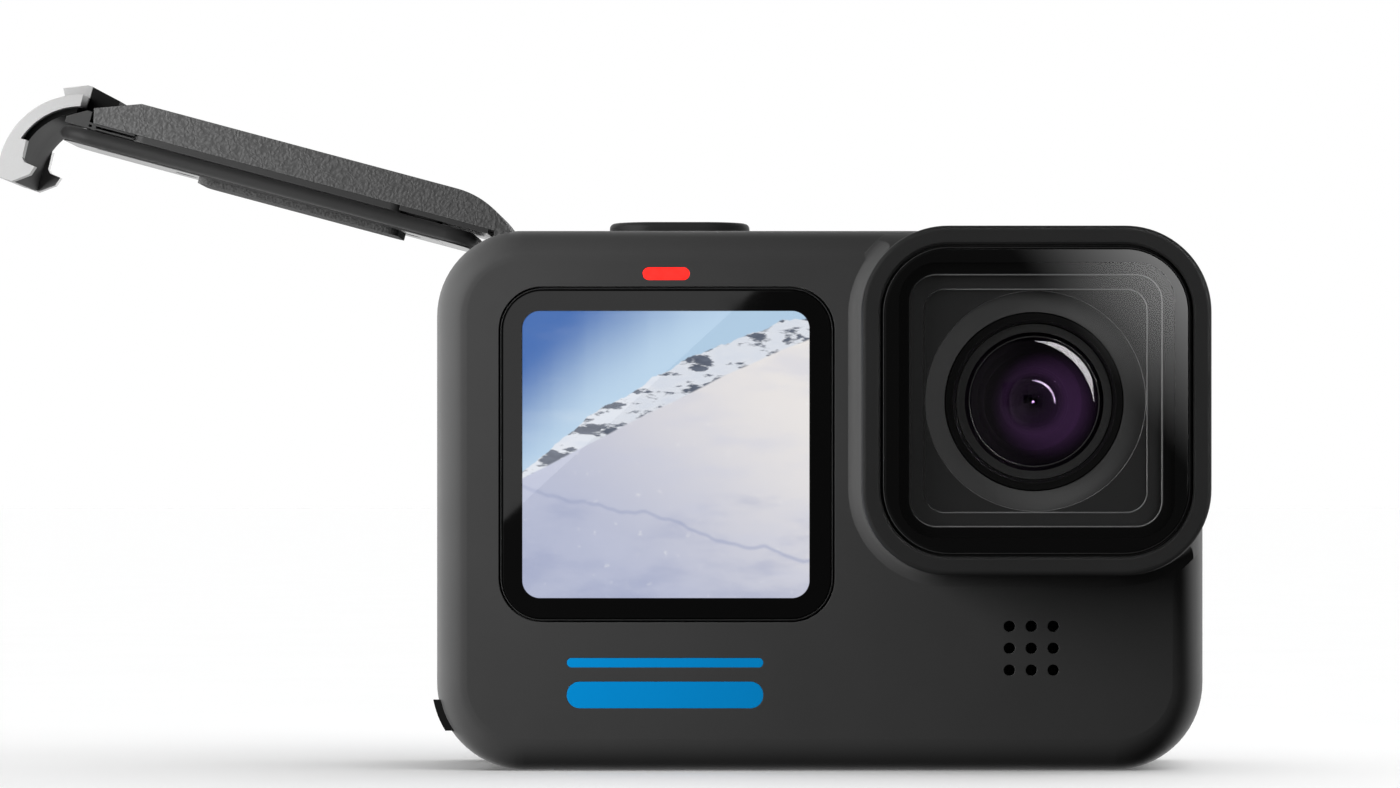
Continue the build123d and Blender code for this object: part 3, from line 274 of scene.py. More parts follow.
def circuit_board(name):
    """Dark green solder mask over copper traces, with plated holes and pads; the holes are painted near black
    as shade.
    """
    g = Graph(name)
    lanes = g.noise(2.4, 0.0, at=g.stretched((1.0, 1.0, 0.18)))
    rows = g.noise(2.4, 0.0, at=g.stretched((0.18, 1.0, 1.0)))
    trace = g.math("MAXIMUM", g.stripe(lanes, 14.0), g.stripe(rows, 14.0))
    hole = g.step(g.cells(1.9), 0.2, 0.14)
    ring = g.math("MULTIPLY", g.step(g.cells(1.9), 0.34, 0.28), g.math("SUBTRACT", 1.0, hole))
    mask = g.mix(g.math("MULTIPLY", trace, 0.8), tone(8, 46, 26), tone(22, 84, 46))
    colour = g.mix(ring, mask, tone(214, 168, 88))
    # The holes are painted near black: painted shade inside them.
    colour = g.mix(hole, colour, tone(10))
    rough = g.total(0.35, (ring, -0.1))
    normal = g.bump((trace, 0.02), (ring, 0.02))
    return g.finish(g.surface(colour, rough, normal, Metallic=ring))


def chip(name):
    """Black moulded chip cases: fine grain over faint blotches."""
    g = Graph(name)
    grain = g.noise(0.08, 2.0)
    blotch = g.noise(3.0, 1.0)
    colour = g.mix(g.total(0.0, (grain, 0.5), (blotch, 0.5)), tone(20), tone(46))
    normal = g.bump((grain, 0.008), normal=g.rounded_normal(0.08))
    return g.finish(g.surface(colour, g.total(0.5, (grain, 0.2)), normal))


def glowing(name, shade, strength, middle_at, half_length):
    """A light pipe: milky plastic, brightest over its lamp and dimmer towards its ends."""
    g = Graph(name)
    x, _, _ = g.axes()
    off = g.math("ABSOLUTE", g.math("SUBTRACT", x, middle_at))
    falloff = g.step(off, half_length * 1.5, 0.0, 0.82, 1.0)
    milk = g.noise(0.5, 2.0)
    colour = g.mix(g.math("MULTIPLY", milk, 0.2), shade, tone(255, 80, 70))
    power = g.math("MULTIPLY", falloff, strength)
    normal = g.bump((milk, 0.004), normal=g.rounded_normal(0.08))
    return g.finish(g.surface(colour, 0.3, normal, Emission_Color=colour, Emission_Strength=power))


def printed(name, shade):
    """Gloss-painted plastic inlay with a faint orange-peel surface."""
    g = Graph(name)
    peel = g.noise(0.35, 2.0)
    colour = g.mix(g.noise(5.0), shaded(shade, 0.94), shade)
    normal = g.bump((peel, 0.004), normal=g.rounded_normal(0.05))
    return g.finish(g.surface(colour, g.total(0.38, (peel, 0.12)), normal))


WRAP_BAND = (14.0, 32.0)
WRAP_STRIPES = ((16.2, 17.1), (29.4, 29.8))
WRAP_SEAM = (1.1, 1.3)
WRAP_CAP = 8.6
STRIPE_BLUE = tone(8, 147, 220)


def battery_wrap(name):
    """The battery's printed film: dark grey with a light band, a seam and two blue stripes."""
    g = Graph(name)
    x, y, z = g.axes()
    film = g.noise(2.2, 3.0)
    colour = g.mix(film, tone(52), tone(66))
    colour = g.mix(g.band(z, *WRAP_BAND), colour, tone(196))
    for stripe in WRAP_STRIPES:
        colour = g.mix(g.band(z, *stripe), colour, STRIPE_BLUE)
    colour = g.mix(g.math("GREATER_THAN", x, WRAP_CAP), colour, tone(28))
    normal = g.bump((film, 0.02), (g.band(y, *WRAP_SEAM), 0.05), normal=g.rounded_normal(0.1))
    return g.finish(g.surface(colour, g.total(0.36, (film, 0.15)), normal))


LABEL_UP = (14.9, 24.1)
LABEL_ACROSS = (-28.9, -19.5)
CONTACTS_ACROSS = (-17.4, -15.1)
CONTACTS_BEHIND = -6.4
CONTACT_PITCH = 1.1


def memory_card(name):
    """Black card plastic with a plain label field and a row of gold contacts at its inner end."""
    g = Graph(name)
    x, y, z = g.axes()
    grain = g.noise(0.1, 2.0)
    colour = g.mix(grain, tone(22), tone(34))
    label = g.math("MULTIPLY", g.band(z, *LABEL_UP), g.band(x, *LABEL_ACROSS))
    colour = g.mix(g.math("MULTIPLY", label, 0.8), colour, tone(8, 120, 186))
    wave = g.math("SINE", g.math("MULTIPLY", z, 2 * math.pi / CONTACT_PITCH))
    gold = g.math("MULTIPLY", g.math("GREATER_THAN", wave, -0.35), g.band(x, *CONTACTS_ACROSS))
    gold = g.math("MULTIPLY", gold, g.math("GREATER_THAN", y, CONTACTS_BEHIND))
    colour = g.mix(gold, colour, tone(222, 178, 92))
    normal = g.bump((grain, 0.006), (gold, 0.01), normal=g.rounded_normal(0.05))
    return g.finish(g.surface(colour, g.total(0.55, (gold, -0.25)), normal, Metallic=gold))


TONGUE_UP = (42.38, 43.12)
TONGUE_DEEP = (-2.6, 4.3)
PADS_ACROSS = (-28.0, -25.2)
PAD_PITCH = 0.5


def usb_metal(name):
    """The port's drawn steel shell, with a black tongue that carries gold contacts."""
    g = Graph(name)
    x, y, z = g.axes()
    tongue = g.math("MULTIPLY", g.band(z, *TONGUE_UP), g.band(y, *TONGUE_DEEP))
    wave = g.math("SINE", g.math("MULTIPLY", y, 2 * math.pi / PAD_PITCH))
    pads = g.math("MULTIPLY", g.math("GREATER_THAN", wave, 0.0), g.band(x, *PADS_ACROSS))
    steel = g.mix(g.noise(0.6, 3.0, stretch=(0.2, 1.0, 1.0)), tone(150), tone(206))
    inner = g.mix(pads, tone(18), tone(224, 182, 96))
    colour = g.mix(tongue, steel, inner)
    shine = g.math("SUBTRACT", 1.0, g.math("MULTIPLY", tongue, g.math("SUBTRACT", 1.0, pads)))
    normal = g.bump((g.noise(0.2, 2.0), 0.003), normal=g.rounded_normal(0.06))
    return g.finish(g.surface(colour, 0.3, normal, Metallic=shine))


# ---- Materials: glass and displays ------------------------------------------------------------
BLACK_PRINT = tone(6)
PRINT_SOFTNESS = 0.04
OUTER_MARGIN = 0.95
TREATMENT = 0.9

# Radii of the lens elements' faces, and where the hollow of the front one lies.
DOME = 13.2
INNER_DOME = 8.0
HOLLOW = 4.4
HOLLOW_BEHIND = -16.45
HOLLOW_REACH = 4.55
HOLLOW_GAIN = 3.0
ELEMENT_IOR = 1.62
# Where the painted purple glow's outer edge is centred, off the lens axis, in mm.
PAINTED_GLOW_SHIFT = (1.0, -0.35)


def glass_mix(g, tint, roughness=0.0, ior=1.5, shine=(1.0, 1.0, 1.0, 1.0), normal=None, gain=None):
    """Clear glass: what is behind it, plus a mirror image that strengthens towards grazing angles.

    Light runs straight through it, so both of its faces reflect alike, whichever way they are met.
    """
    clear = g.node("BsdfTransparent", {"Color": tint}).outputs[0]
    mirror = g.node("BsdfGlossy", {"Color": shine, "Roughness": roughness})
    weight = g.node("LayerWeight", {"Blend": 0.5})
    if normal is not None:
        g.feed(mirror.inputs["Normal"], normal)
        g.feed(weight.inputs["Normal"], normal)
    head_on = ((ior - 1) / (ior + 1)) ** 2
    grazing = g.math("POWER", weight.outputs["Facing"], 5.0)
    share = g.total(head_on, (grazing, 1 - head_on))
    if gain is not None:
        share = g.math("MULTIPLY", share, gain, clamp=True)
    return g.node("MixShader", {0: share, 1: clear, 2: mirror.outputs[0]}).outputs[0]


def window_mask(g, centre, size, corner):
    """1 inside a rounded rectangle of the X-Z plane and 0 outside it."""
    x, _, z = g.axes()
    reach = []
    for value, at, width in ((x, centre[0], size[0]), (z, centre[1], size[1])):
        off = g.math("ABSOLUTE", g.math("SUBTRACT", value, at))
        reach.append(g.math("MAXIMUM", g.math("SUBTRACT", off, width / 2 - corner), 0.0))
    return g.step(g.length(*reach), corner + PRINT_SOFTNESS, corner - PRINT_SOFTNESS)


def printed_glass(name, centre, window, corner, smudges=0.03, inner_face=None):
    """Cover glass with a black printed border round a clear window, and faint smudges.

    A thick glass is printed on both faces, with a slightly wider window on the outer one. What lies
    behind the inner_face depth is treated against reflections.
    """
    g = Graph(name)
    smudge = g.noise(6.0, 4.0)
    mask = window_mask(g, centre, window, corner)
    treated = 0.0
    if inner_face is not None:
        treated = g.math("GREATER_THAN", g.axes()[1], inner_face)
        wide = window_mask(g, centre, [size + 2 * OUTER_MARGIN for size in window], corner + OUTER_MARGIN)
        mask = g.math("MAXIMUM", mask, g.math("MULTIPLY", wide, g.math("SUBTRACT", 1.0, treated)))
    plain = g.math("SUBTRACT", 1.0, g.math("MULTIPLY", treated, TREATMENT))
    clear = glass_mix(g, tone(253), g.step(smudge, 0.45, 0.9, 0.0, smudges), gain=plain)
    rough = g.step(smudge, 0.4, 0.9, 0.015, smudges + 0.03)
    shine = g.math("MULTIPLY", plain, 0.5)
    black = g.surface(BLACK_PRINT, rough, g.rounded_normal(0.06), IOR=1.5, Specular_IOR_Level=shine)
    return g.finish(g.node("MixShader", {0: mask, 1: black, 2: clear}).outputs[0])


def mountain_picture(g, low, high):
    """A winter view: blue sky, a rocky ridge that climbs to the right and a smooth snow slope."""
    x, y, z = g.axes()
    u = g.node("MapRange", {"Value": x, "From Min": low[0], "From Max": high[0]}).outputs[0]
    v = g.node("MapRange", {"Value": z, "From Min": low[1], "From Max": high[1]}).outputs[0]
    here = g.node("CombineXYZ", {0: u, 1: v}).outputs[0]
    along = g.node("CombineXYZ", {0: u}).outputs[0]

    def cloud(size, detail, where=here):
        return g.noise(size, detail, at=where)

    def tilted(turn, stretch):
        return g.node("Mapping", {"Vector": here, "Rotation": (0, 0, turn), "Scale": stretch}).outputs[0]

    jag = g.math("SUBTRACT", cloud(0.16, 9.0, along), 0.5)
    roll = g.math("SUBTRACT", cloud(0.5, 2.0, along), 0.5)
    bend = g.math("MULTIPLY", u, u)
    ridge = g.total(0.44, (u, 0.86), (bend, -0.32), (jag, 0.10))
    slope = g.total(0.415, (u, 0.54), (bend, -0.055), (roll, 0.04))
    above = g.math("SUBTRACT", v, ridge)

    depth = g.total(0.0, (above, 1.5), (u, -0.25))
    sky = g.mix(g.step(depth, -0.1, 0.62), tone(186, 214, 238), tone(28, 96, 176))
    haze = g.step(cloud(0.35, 5.0, tilted(0.5, (0.6, 2.2, 1.0))), 0.52, 0.85)
    sky = g.mix(g.math("MULTIPLY", haze, 0.3), sky, tone(232, 240, 248))

    crag = cloud(0.075, 10.0, tilted(-0.75, (0.55, 1.5, 1.0)))
    facet = cloud(0.03, 6.0, tilted(0.6, (0.5, 1.6, 1.0)))
    bare = g.step(g.total(0.0, (crag, 0.72), (facet, 0.28)), 0.5, 0.56)
    rock = g.mix(facet, tone(44, 52, 70), tone(128, 136, 152))
    ice = g.mix(crag, tone(206, 216, 234), tone(252))
    peaks = g.mix(bare, ice, rock)

    lean = g.total(0.0, (u, 0.55), (v, 0.6))
    snow = g.mix(g.step(lean, 0.15, 1.0), tone(190, 196, 220), tone(244, 240, 238))
    drift = cloud(0.28, 5.0, tilted(0.45, (0.7, 2.2, 1.0)))
    snow = g.mix(g.step(drift, 0.42, 0.7, 0.0, 0.35), snow, tone(206, 210, 230))
    powder = g.step(cloud(0.035, 4.0), 0.62, 0.75, 0.0, 0.35)
    snow = g.mix(powder, snow, tone(252))
    track = g.math("SUBTRACT", v, g.total(0.31, (u, -0.26), (cloud(0.3, 3.0, along), 0.16)))
    snow = g.mix(g.step(g.math("ABSOLUTE", track), 0.012, 0.0, 0.0, 0.55), snow, tone(168, 176, 206))
    shade = g.step(g.total(0.0, (cloud(0.22, 4.0, tilted(1.1, (0.7, 2.0, 1.0))), 1.0), (v, -0.5)), 0.36, 0.62)
    snow = g.mix(g.math("MULTIPLY", shade, 0.35), snow, tone(150, 160, 198))

    land = g.mix(g.step(g.math("SUBTRACT", v, slope), -0.004, 0.006), snow, peaks)
    return g.mix(g.step(above, -0.003, 0.003), land, sky)


def display(name, centre, size, corner, brightness, marks=None):
    """A lit display panel: the picture inside its rounded edge, unlit black outside it."""
    g = Graph(name)
    low = [c - s / 2 for c, s in zip(centre, size)]
    high = [c + s / 2 for c, s in zip(centre, size)]
    picture = mountain_picture(g, low, high)
    if marks:
        picture = marks(g, picture)
    mask = window_mask(g, centre, size, corner)
    lit = g.node("Emission", {"Color": picture, "Strength": brightness}).outputs[0]
    dark = g.surface(tone(8), g.total(0.3, (g.noise(2.0), 0.1)))
    return g.finish(g.node("MixShader", {0: mask, 1: dark, 2: lit}).outputs[0])


def control_marks(centre, size):
    """Plain controls for the rear display: a ring round a red dot, a dot each side and four level bars."""

    def draw(g, picture):
        x, _, z = g.axes()

        def disc(at_x, at_z, radius):
            far = g.length(g.math("SUBTRACT", x, at_x), g.math("SUBTRACT", z, at_z))
            return g.step(far, radius + 0.05, radius - 0.05)

        bottom = centre[1] - size[1] / 2
        top = centre[1] + size[1] / 2
        row = bottom + 3.5
        tray = g.math("MULTIPLY", g.math("LESS_THAN", z, bottom + 7.0), 0.45)
        shown = g.mix(tray, picture, tone(10))
        ring = g.math("SUBTRACT", disc(centre[0], row, 2.3), disc(centre[0], row, 1.9))
        shown = g.mix(ring, shown, tone(245))
        shown = g.mix(disc(centre[0], row, 1.5), shown, tone(228, 40, 36))
        for offset in (-9.0, 9.0):
            shown = g.mix(disc(centre[0] + offset, row, 1.0), shown, tone(225))
        for index in range(4):
            start = centre[0] - size[0] / 2 + 3.0 + index * 1.5
            rise = g.band(z, top - 4.2, top - 3.2 + index * 0.5)
            shown = g.mix(g.math("MULTIPLY", g.band(x, start, start + 0.9), rise), shown, tone(250))
        return shown

    return draw


def off_axis(g, shift_x=0.0, shift_z=0.0):
    """The shaded point's X and Z from the lens axis, and its distance from it, in millimetres."""
    x, _, z = g.axes()
    off_x = g.math("SUBTRACT", x, LENS_X + shift_x)
    off_z = g.math("SUBTRACT", z, LENS_Z + shift_z)
    return off_x, off_z, g.length(off_x, off_z)


def in_hollow(g):
    """1 on the hollow behind the front lens element, and 0 on its domed front."""
    deep = g.math("GREATER_THAN", g.axes()[1], HOLLOW_BEHIND)
    return g.math("MULTIPLY", deep, g.math("LESS_THAN", off_axis(g)[2], HOLLOW_REACH))


def dome_normal(g, dome, hollow):
    """The smooth normal of a lens element's domed front, or of the hollow behind it."""
    off_x, off_z, _ = off_axis(g)
    curve = g.total(dome, (in_hollow(g), hollow - dome))
    tilt_x = g.math("DIVIDE", off_x, curve)
    tilt_z = g.math("DIVIDE", off_z, curve)
    flat = g.math("ADD", g.math("POWER", tilt_x, 2.0), g.math("POWER", tilt_z, 2.0))
    fore = g.math("SQRT", g.math("MAXIMUM", g.math("SUBTRACT", 1.0, flat), 0.01))
    way = g.node("CombineXYZ", {0: tilt_x, 1: g.math("MULTIPLY", fore, -1.0), 2: tilt_z}).outputs[0]
    turned = g.node("VectorTransform", {"Vector": way}, vector_type="NORMAL", convert_from="OBJECT",
                    convert_to="WORLD")
    return turned.outputs[0]


def coated_element(name, haze, ring, strength, tint, dome, hollow):
    """A coated lens element: clear domed glass with a faint coloured glow in a ring, painted by an
    emission: a painted reflection.

    ring holds the radii where the painted glow starts, is full, starts to fade and ends; haze is
    the painted glow's colour.
    """
    g = Graph(name)
    start = g.step(off_axis(g)[2], ring[0], ring[1])
    end = g.step(off_axis(g, *PAINTED_GLOW_SHIFT)[2], ring[3], ring[2])
    painted_glow_mask = g.math("MULTIPLY", g.math("MULTIPLY", start, end), strength)
    dust_and_glow_noise = g.noise(0.6, 3.0)
    gain = g.total(1.0, (in_hollow(g), HOLLOW_GAIN))
    rough = g.step(dust_and_glow_noise, 0.5, 1.0, 0.0, 0.03)
    clear = glass_mix(g, tint, rough, ELEMENT_IOR, (1.0, 0.95, 1.0, 1.0), dome_normal(g, dome, hollow), gain)
    # An emission paints the purple reflection: painted glow, its strength varied by the same noise as the
    # dust.
    painted_glow = g.node("Emission", {"Color": haze, "Strength": g.total(0.85, (dust_and_glow_noise, 0.3))}).outputs[0]
    return g.finish(g.node("MixShader", {0: painted_glow_mask, 1: clear, 2: painted_glow}).outputs[0])


def stained_glass(name, tint, mirror):
    """The infrared filter's thin glass, with its coloured reflection."""
    g = Graph(name)
    haze = g.noise(3.0, 2.0)
    return g.finish(glass_mix(g, g.mix(haze, tint, mirror), g.total(0.02, (haze, 0.05)), shine=mirror))


# ---- Which material each CAD node takes --------------------------------------------------------
# A picture is given by its centre, its size and its corner radius, in millimetres.
FRONT = middle("front_display_panel")
FRONT_PICTURE = ((FRONT[0] - 0.1, FRONT[2]), (26.8, 26.8), 1.65)
REAR = middle("rear_display_panel")
REAR_PICTURE = ((REAR[0], REAR[2]), (54.0, 35.4), 1.2)
COVER = middle("lens_cover_glass")
COVER_FRONT = in_mm("lens_cover_glass")[0][1]

BODY = moulded("soft_touch_body", tone(55), 0.52, grain=0.11, depth=0.0025, wear=0.18, rounding=0.1,
               Sheen_Weight=0.05)
BUMPER = moulded("cover_satin_black", tone(27), 0.5, grain=0.1, depth=0.002, wear=0.5, rounding=0.08)
LENS_BLACK = moulded("lens_black", tone(30), 0.48, grain=0.09, depth=0.002, wear=0.6, rounding=0.06)
# The bezel is the same black plastic as the baffle, painted lighter to make up for the shade it sits in:
# painted light.
BEZEL_PAINTED_LIGHTER = moulded("lens_bezel_black", tone(66), 0.5, grain=0.09, depth=0.002, wear=0.4, rounding=0.06)
LENS_INNER = moulded("lens_inner_black", tone(9), 0.6, grain=0.09, depth=0.002, wear=0.2, rounding=0.06)
BARREL = moulded("lens_barrel_black", tone(10), 0.35, grain=0.08, depth=0.001, wear=0.5, rounding=0.06)
LENS_GREY = moulded("lens_grey_ring", tone(33), 0.45, grain=0.08, depth=0.002, wear=0.4, rounding=0.05)
SMOOTH_PLASTIC = moulded("liner_smooth_plastic", tone(46), 0.2, grain=0.4, depth=0.001, wear=0.4)
INNER_PLASTIC = moulded("inner_plastic", tone(34), 0.5, grain=0.12, depth=0.003)
SEAL = moulded("seal_rubber", tone(38), 0.38, grain=0.25, depth=0.002, wear=0.1, Sheen_Weight=0.1)
BUTTON = moulded("button_rubber", tone(44), 0.5, grain=0.1, depth=0.003, wear=0.4, rounding=0.12)
DARK = moulded("dark_plastic", tone(20), 0.5, grain=0.12, depth=0.002, wear=0.3, Specular_IOR_Level=0.12)
FINGER = moulded("finger_glass_filled_plastic", tone(44), 0.55, grain=0.16, depth=0.008, wear=0.5)
TAB = moulded("pull_tab_film", tone(210), 0.4, grain=0.3, depth=0.002)
# The latch's dark plastic is given a pale silvery grey that stands in for the studio light it catches:
# painted light.
PALE_LATCH_PAINTED_LIGHT = moulded("latch_pale_painted_light", tone(186), 0.36, grain=0.1, depth=0.006, wear=0.3, rounding=0.1,
                Metallic=0.55)
PANEL = pebbled("door_pebbled_rubber", tone(70), 0.55, size=0.27, depth=0.04)
PAD = foam("pad_foam", tone(70))
STEEL = metal("screw_steel", tone(178), 0.3)
SOCKET = metal("socket_steel", tone(196), 0.25, run=(12.0, 1.0, 1.0))
SWITCH = metal("switch_plating", tone(200), 0.28, run=(1.0, 8.0, 1.0))
HEAT = metal("heat_spreader_aluminium", tone(182), 0.42, run=(10.0, 1.0, 1.0))
BRACKET = metal("bracket_blackened_steel", tone(70), 0.4, run=(9.0, 1.0, 1.0))
HOLDER = metal("lens_holder_black_anodised", tone(42), 0.45, run=(1.0, 10.0, 1.0))
BRASS = metal("contact_brass", tone(222, 180, 96), 0.28, run=(1.0, 9.0, 1.0))

LOOKS = {
    BODY: ("front_cover", "main_housing"),
    BUMPER: ("lens_cover_frame",),
    LENS_BLACK: ("lens_cover_baffle",),
    BEZEL_PAINTED_LIGHTER: ("lens_bezel",),
    LENS_INNER: ("lens_spacer",),
    BARREL: ("lens_barrel",),
    LENS_GREY: ("lens_retaining_ring",),
    SMOOTH_PLASTIC: ("door_liner",),
    INNER_PLASTIC: ("battery_cage", "speaker"),
    SEAL: ("door_gasket", "front_cover_seal", "lens_cover_seal", "button_seals"),
    BUTTON: ("shutter_button", "mode_button"),
    DARK: ("latch_slide", "latch_guard"),
    FINGER: ("finger_left", "finger_right"),
    TAB: ("battery_pull_tab",),
    PALE_LATCH_PAINTED_LIGHT: ("door_latch",),
    PANEL: ("door_panel",),
    PAD: ("door_pad",),
    STEEL: ("hinge_pin", "finger_pins", "door_screws", "lens_screws", "board_screws", "bracket_screws",
            "latch_spring"),
    SOCKET: ("card_socket",),
    SWITCH: ("shutter_switch", "mode_switch"),
    HEAT: ("heat_spreader",),
    BRACKET: ("finger_bracket",),
    HOLDER: ("lens_holder",),
    BRASS: ("battery_contacts",),
    circuit_board("circuit_board"): ("main_board", "sensor_board", "usb_board"),
    chip("chip_case"): ("board_chips", "image_sensor", "microphone"),
    usb_metal("usb_shell"): ("usb_connector",),
    battery_wrap("battery_wrap"): ("battery",),
    memory_card("memory_card"): ("memory_card",),
    woven_mesh("membrane", tone(58), 0.24, 0, 2): ("microphone_membrane",),
    glowing("status_light", tone(255, 30, 26), 0.93, middle("accent_bars")[0], 2.2): ("status_lights",),
    printed("accent_blue", tone(0, 128, 194)): ("accent_bars",),
    printed_glass("front_display_glass", *FRONT_PICTURE): ("front_display_glass",),
    printed_glass("rear_display_glass", *REAR_PICTURE): ("rear_display_glass",),
    printed_glass("cover_glass", (COVER[0], COVER[2]), (23.3, 23.3), 2.6, 0.0, COVER_FRONT + 0.6):
        ("lens_cover_glass",),
    display("front_picture", *FRONT_PICTURE, 1.0): ("front_display_panel",),
    display("rear_picture", *REAR_PICTURE, 0.9, control_marks(*REAR_PICTURE[:2])): ("rear_display_panel",),
    # Both elements carry a purple glow painted in a ring: a painted reflection.
    coated_element("front_element", tone(72, 46, 82), (1.9, 3.2, 2.4, 5.2), 0.28, tone(226, 214, 232), DOME,
                   HOLLOW): ("lens_front_element",),
    coated_element("second_element", tone(60, 30, 70), (0.5, 1.2, 1.4, 3.0), 0.06, tone(206, 190, 214),
                   INNER_DOME, INNER_DOME): ("lens_second_element", "lens_rear_element"),
    stained_glass("infrared_filter", tone(150, 190, 205), tone(215, 120, 150)): ("infrared_filter",),
}


def dress(looks):
    """Gives every CAD node its material in each of its slots."""
    for material, names in looks.items():
        for name in names:
            for slot in nodes[name].material_slots:
                slot.link = "OBJECT"
                slot.material = material


dress(LOOKS)


# ---- Small pieces that the CAD model leaves to the looks ---------------------------------------
def circle(centre, radius, count=128):
    """Points on a circle of the X-Z plane, with their outward directions."""
    turns = [2 * math.pi * i / count for i in range(count)]
    ways = [(math.cos(t), math.sin(t)) for t in turns]
    return [((centre[0] + radius * a, centre[1] + radius * b), (a, b)) for a, b in ways]


def rounded_square(centre, size, corner, count=16):
    """Points on a rounded square of the X-Z plane, with their outward directions."""
    flat = size / 2 - corner
    points = []
    for quarter, (sign_x, sign_z) in enumerate(((1, 1), (-1, 1), (-1, -1), (1, -1))):
        for i in range(count + 1):
            t = math.pi / 2 * (quarter + i / count)
            way = (math.cos(t), math.sin(t))
            at = (centre[0] + sign_x * flat + corner * way[0], centre[1] + sign_z * flat + corner * way[1])
            points.append((at, way))
    return points


def add_mesh(name, points, faces, material, body):
    """A smooth-shaded piece from points in millimetres, riding on a body."""
    mesh = bpy.data.meshes.new(name)
    mesh.from_pydata([[c * MM for c in p] for p in points], [], faces)
    mesh.materials.append(material)
    mesh.validate()
    for face in mesh.polygons:
        face.use_smooth = True
    piece = bpy.data.objects.new(name, mesh)
    bpy.context.collection.objects.link(piece)
    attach(piece, body)


def bead(name, outline, y, radius, material, body, sides=10):
    """A fine closed bead that follows an outline at one depth."""
    points = []
    for (x, z), (way_x, way_z) in outline:
        for i in range(sides):
            t = 2 * math.pi * i / sides
            out, fore = radius * math.cos(t), radius * math.sin(t)
            points.append((x + out * way_x, y + fore, z + out * way_z))
    rows = len(outline)
    faces = []
    for row in range(rows):
        for i in range(sides):
            here, after = row * sides, (row + 1) % rows * sides
            turn = (i + 1) % sides
            faces.append((here + i, here + turn, after + turn, after + i))
    add_mesh(name, points, faces, material, body)


# A pale grey bead that paints the highlight along the baffle's step edges: its light colour is a painted
# highlight, on top of the light it catches.
PAINTED_HIGHLIGHT_EDGE = moulded("pale_edge_painted_highlight", tone(140), 0.3, grain=0.3, depth=0.0005, wear=0.2)
RIM = moulded("lens_rim_polish", tone(120), 0.14, grain=0.3, depth=0.0005, wear=0.2, Metallic=0.9)

BAFFLE_FRONT = in_mm("lens_cover_baffle")[0][1]
MASK_OUTER = rounded_square(LENS, 23.08, 2.4)
MASK_INNER = rounded_square(LENS, 20.5, 1.9)
MASK_ROUND = circle(LENS, 10.15)
MASK_STEPS = (0.05, 1.4, 1.76)
bead("mask_edge_outer", MASK_OUTER, BAFFLE_FRONT + MASK_STEPS[0], 0.06, PAINTED_HIGHLIGHT_EDGE, "lens_cover")
bead("mask_edge_inner", MASK_INNER, BAFFLE_FRONT + MASK_STEPS[1], 0.06, PAINTED_HIGHLIGHT_EDGE, "lens_cover")
bead("mask_edge_round", MASK_ROUND, BAFFLE_FRONT + MASK_STEPS[2], 0.03, PAINTED_HIGHLIGHT_EDGE, "lens_cover")

DOME_FRONT = in_mm("lens_front_element")[0][1]
SECOND_RIM_Y = -13.97
STOP_RIM_Y = -14.2
bead("element_rim", circle(LENS, 6.0), DOME_FRONT + 1.5, 0.07, RIM, "camera")
bead("second_element_rim", circle(LENS, 2.75), SECOND_RIM_Y, 0.08, RIM, "camera")
bead("stop_rim", circle(LENS, 1.86), STOP_RIM_Y, 0.06, RIM, "camera")

DISPLAY_LOW, DISPLAY_HIGH = in_mm("front_display_glass")
DISPLAY_SIZE = DISPLAY_HIGH[0] - DISPLAY_LOW[0]
DISPLAY_EDGE = rounded_square((FRONT[0], FRONT[2]), DISPLAY_SIZE - 0.1, 3.9)
COVER_EDGE = rounded_square(LENS, 27.95, 6.0)
bead("display_glass_edge", DISPLAY_EDGE, DISPLAY_LOW[1] + 0.06, 0.05, RIM, "camera")
bead("cover_glass_edge", COVER_EDGE, COVER_FRONT + 0.14, 0.06, RIM, "lens_cover")


# ---- Stage, light and camera -------------------------------------------------------------------
CAMERA_AT = (-1.87, -512.2, 25.1)
FOCAL = 138.1
SENSOR = 36.0
SHIFT = (-0.0712, 0.0769)
GLASS_TO_CARD = 0.8
ROOM_GLOW = 0.035
CARD_Y = -412.0
CARD_EDGE = 160.0


def add_object(name, data):
    """Links a new object into the scene."""
    made = bpy.data.objects.new(name, data)
    bpy.context.collection.objects.link(made)
    return made


def add_plane(name, corners, material):
    """A flat stage piece from corners in millimetres."""
    mesh = bpy.data.meshes.new(name)
    mesh.from_pydata([[c * MM for c in p] for p in corners], [], [tuple(range(len(corners)))])
    mesh.materials.append(material)
    plane = add_object(name, mesh)
    return plane


def pale_floor():
    """A pale floor that glows a little, so that only the shade under the camera shows on it."""
    g = Graph("pale_floor")
    paper = g.noise(30.0, 3.0)
    colour = g.mix(paper, tone(236), tone(240))
    glow = {"Emission_Color": tone(255), "Emission_Strength": 0.1}
    return g.finish(g.surface(colour, 0.9, Specular_IOR_Level=0.1, **glow))


def only_reflected(card):
    """Leaves a card visible in reflections and nowhere else."""
    card.visible_camera = False
    card.visible_diffuse = False
    card.visible_shadow = False
    card.visible_transmission = False


def link_light(light, name, takes=None, leaves=None):
    """Limits a light or card to the receivers it takes, or keeps it off the ones it leaves out."""
    group = bpy.data.collections.new(name + "_linking")
    for receiver in takes or leaves:
        group.objects.link(receiver)
    light.light_linking.receiver_collection = group
    for entry in group.collection_objects:
        entry.light_linking.link_state = "INCLUDE" if takes else "EXCLUDE"


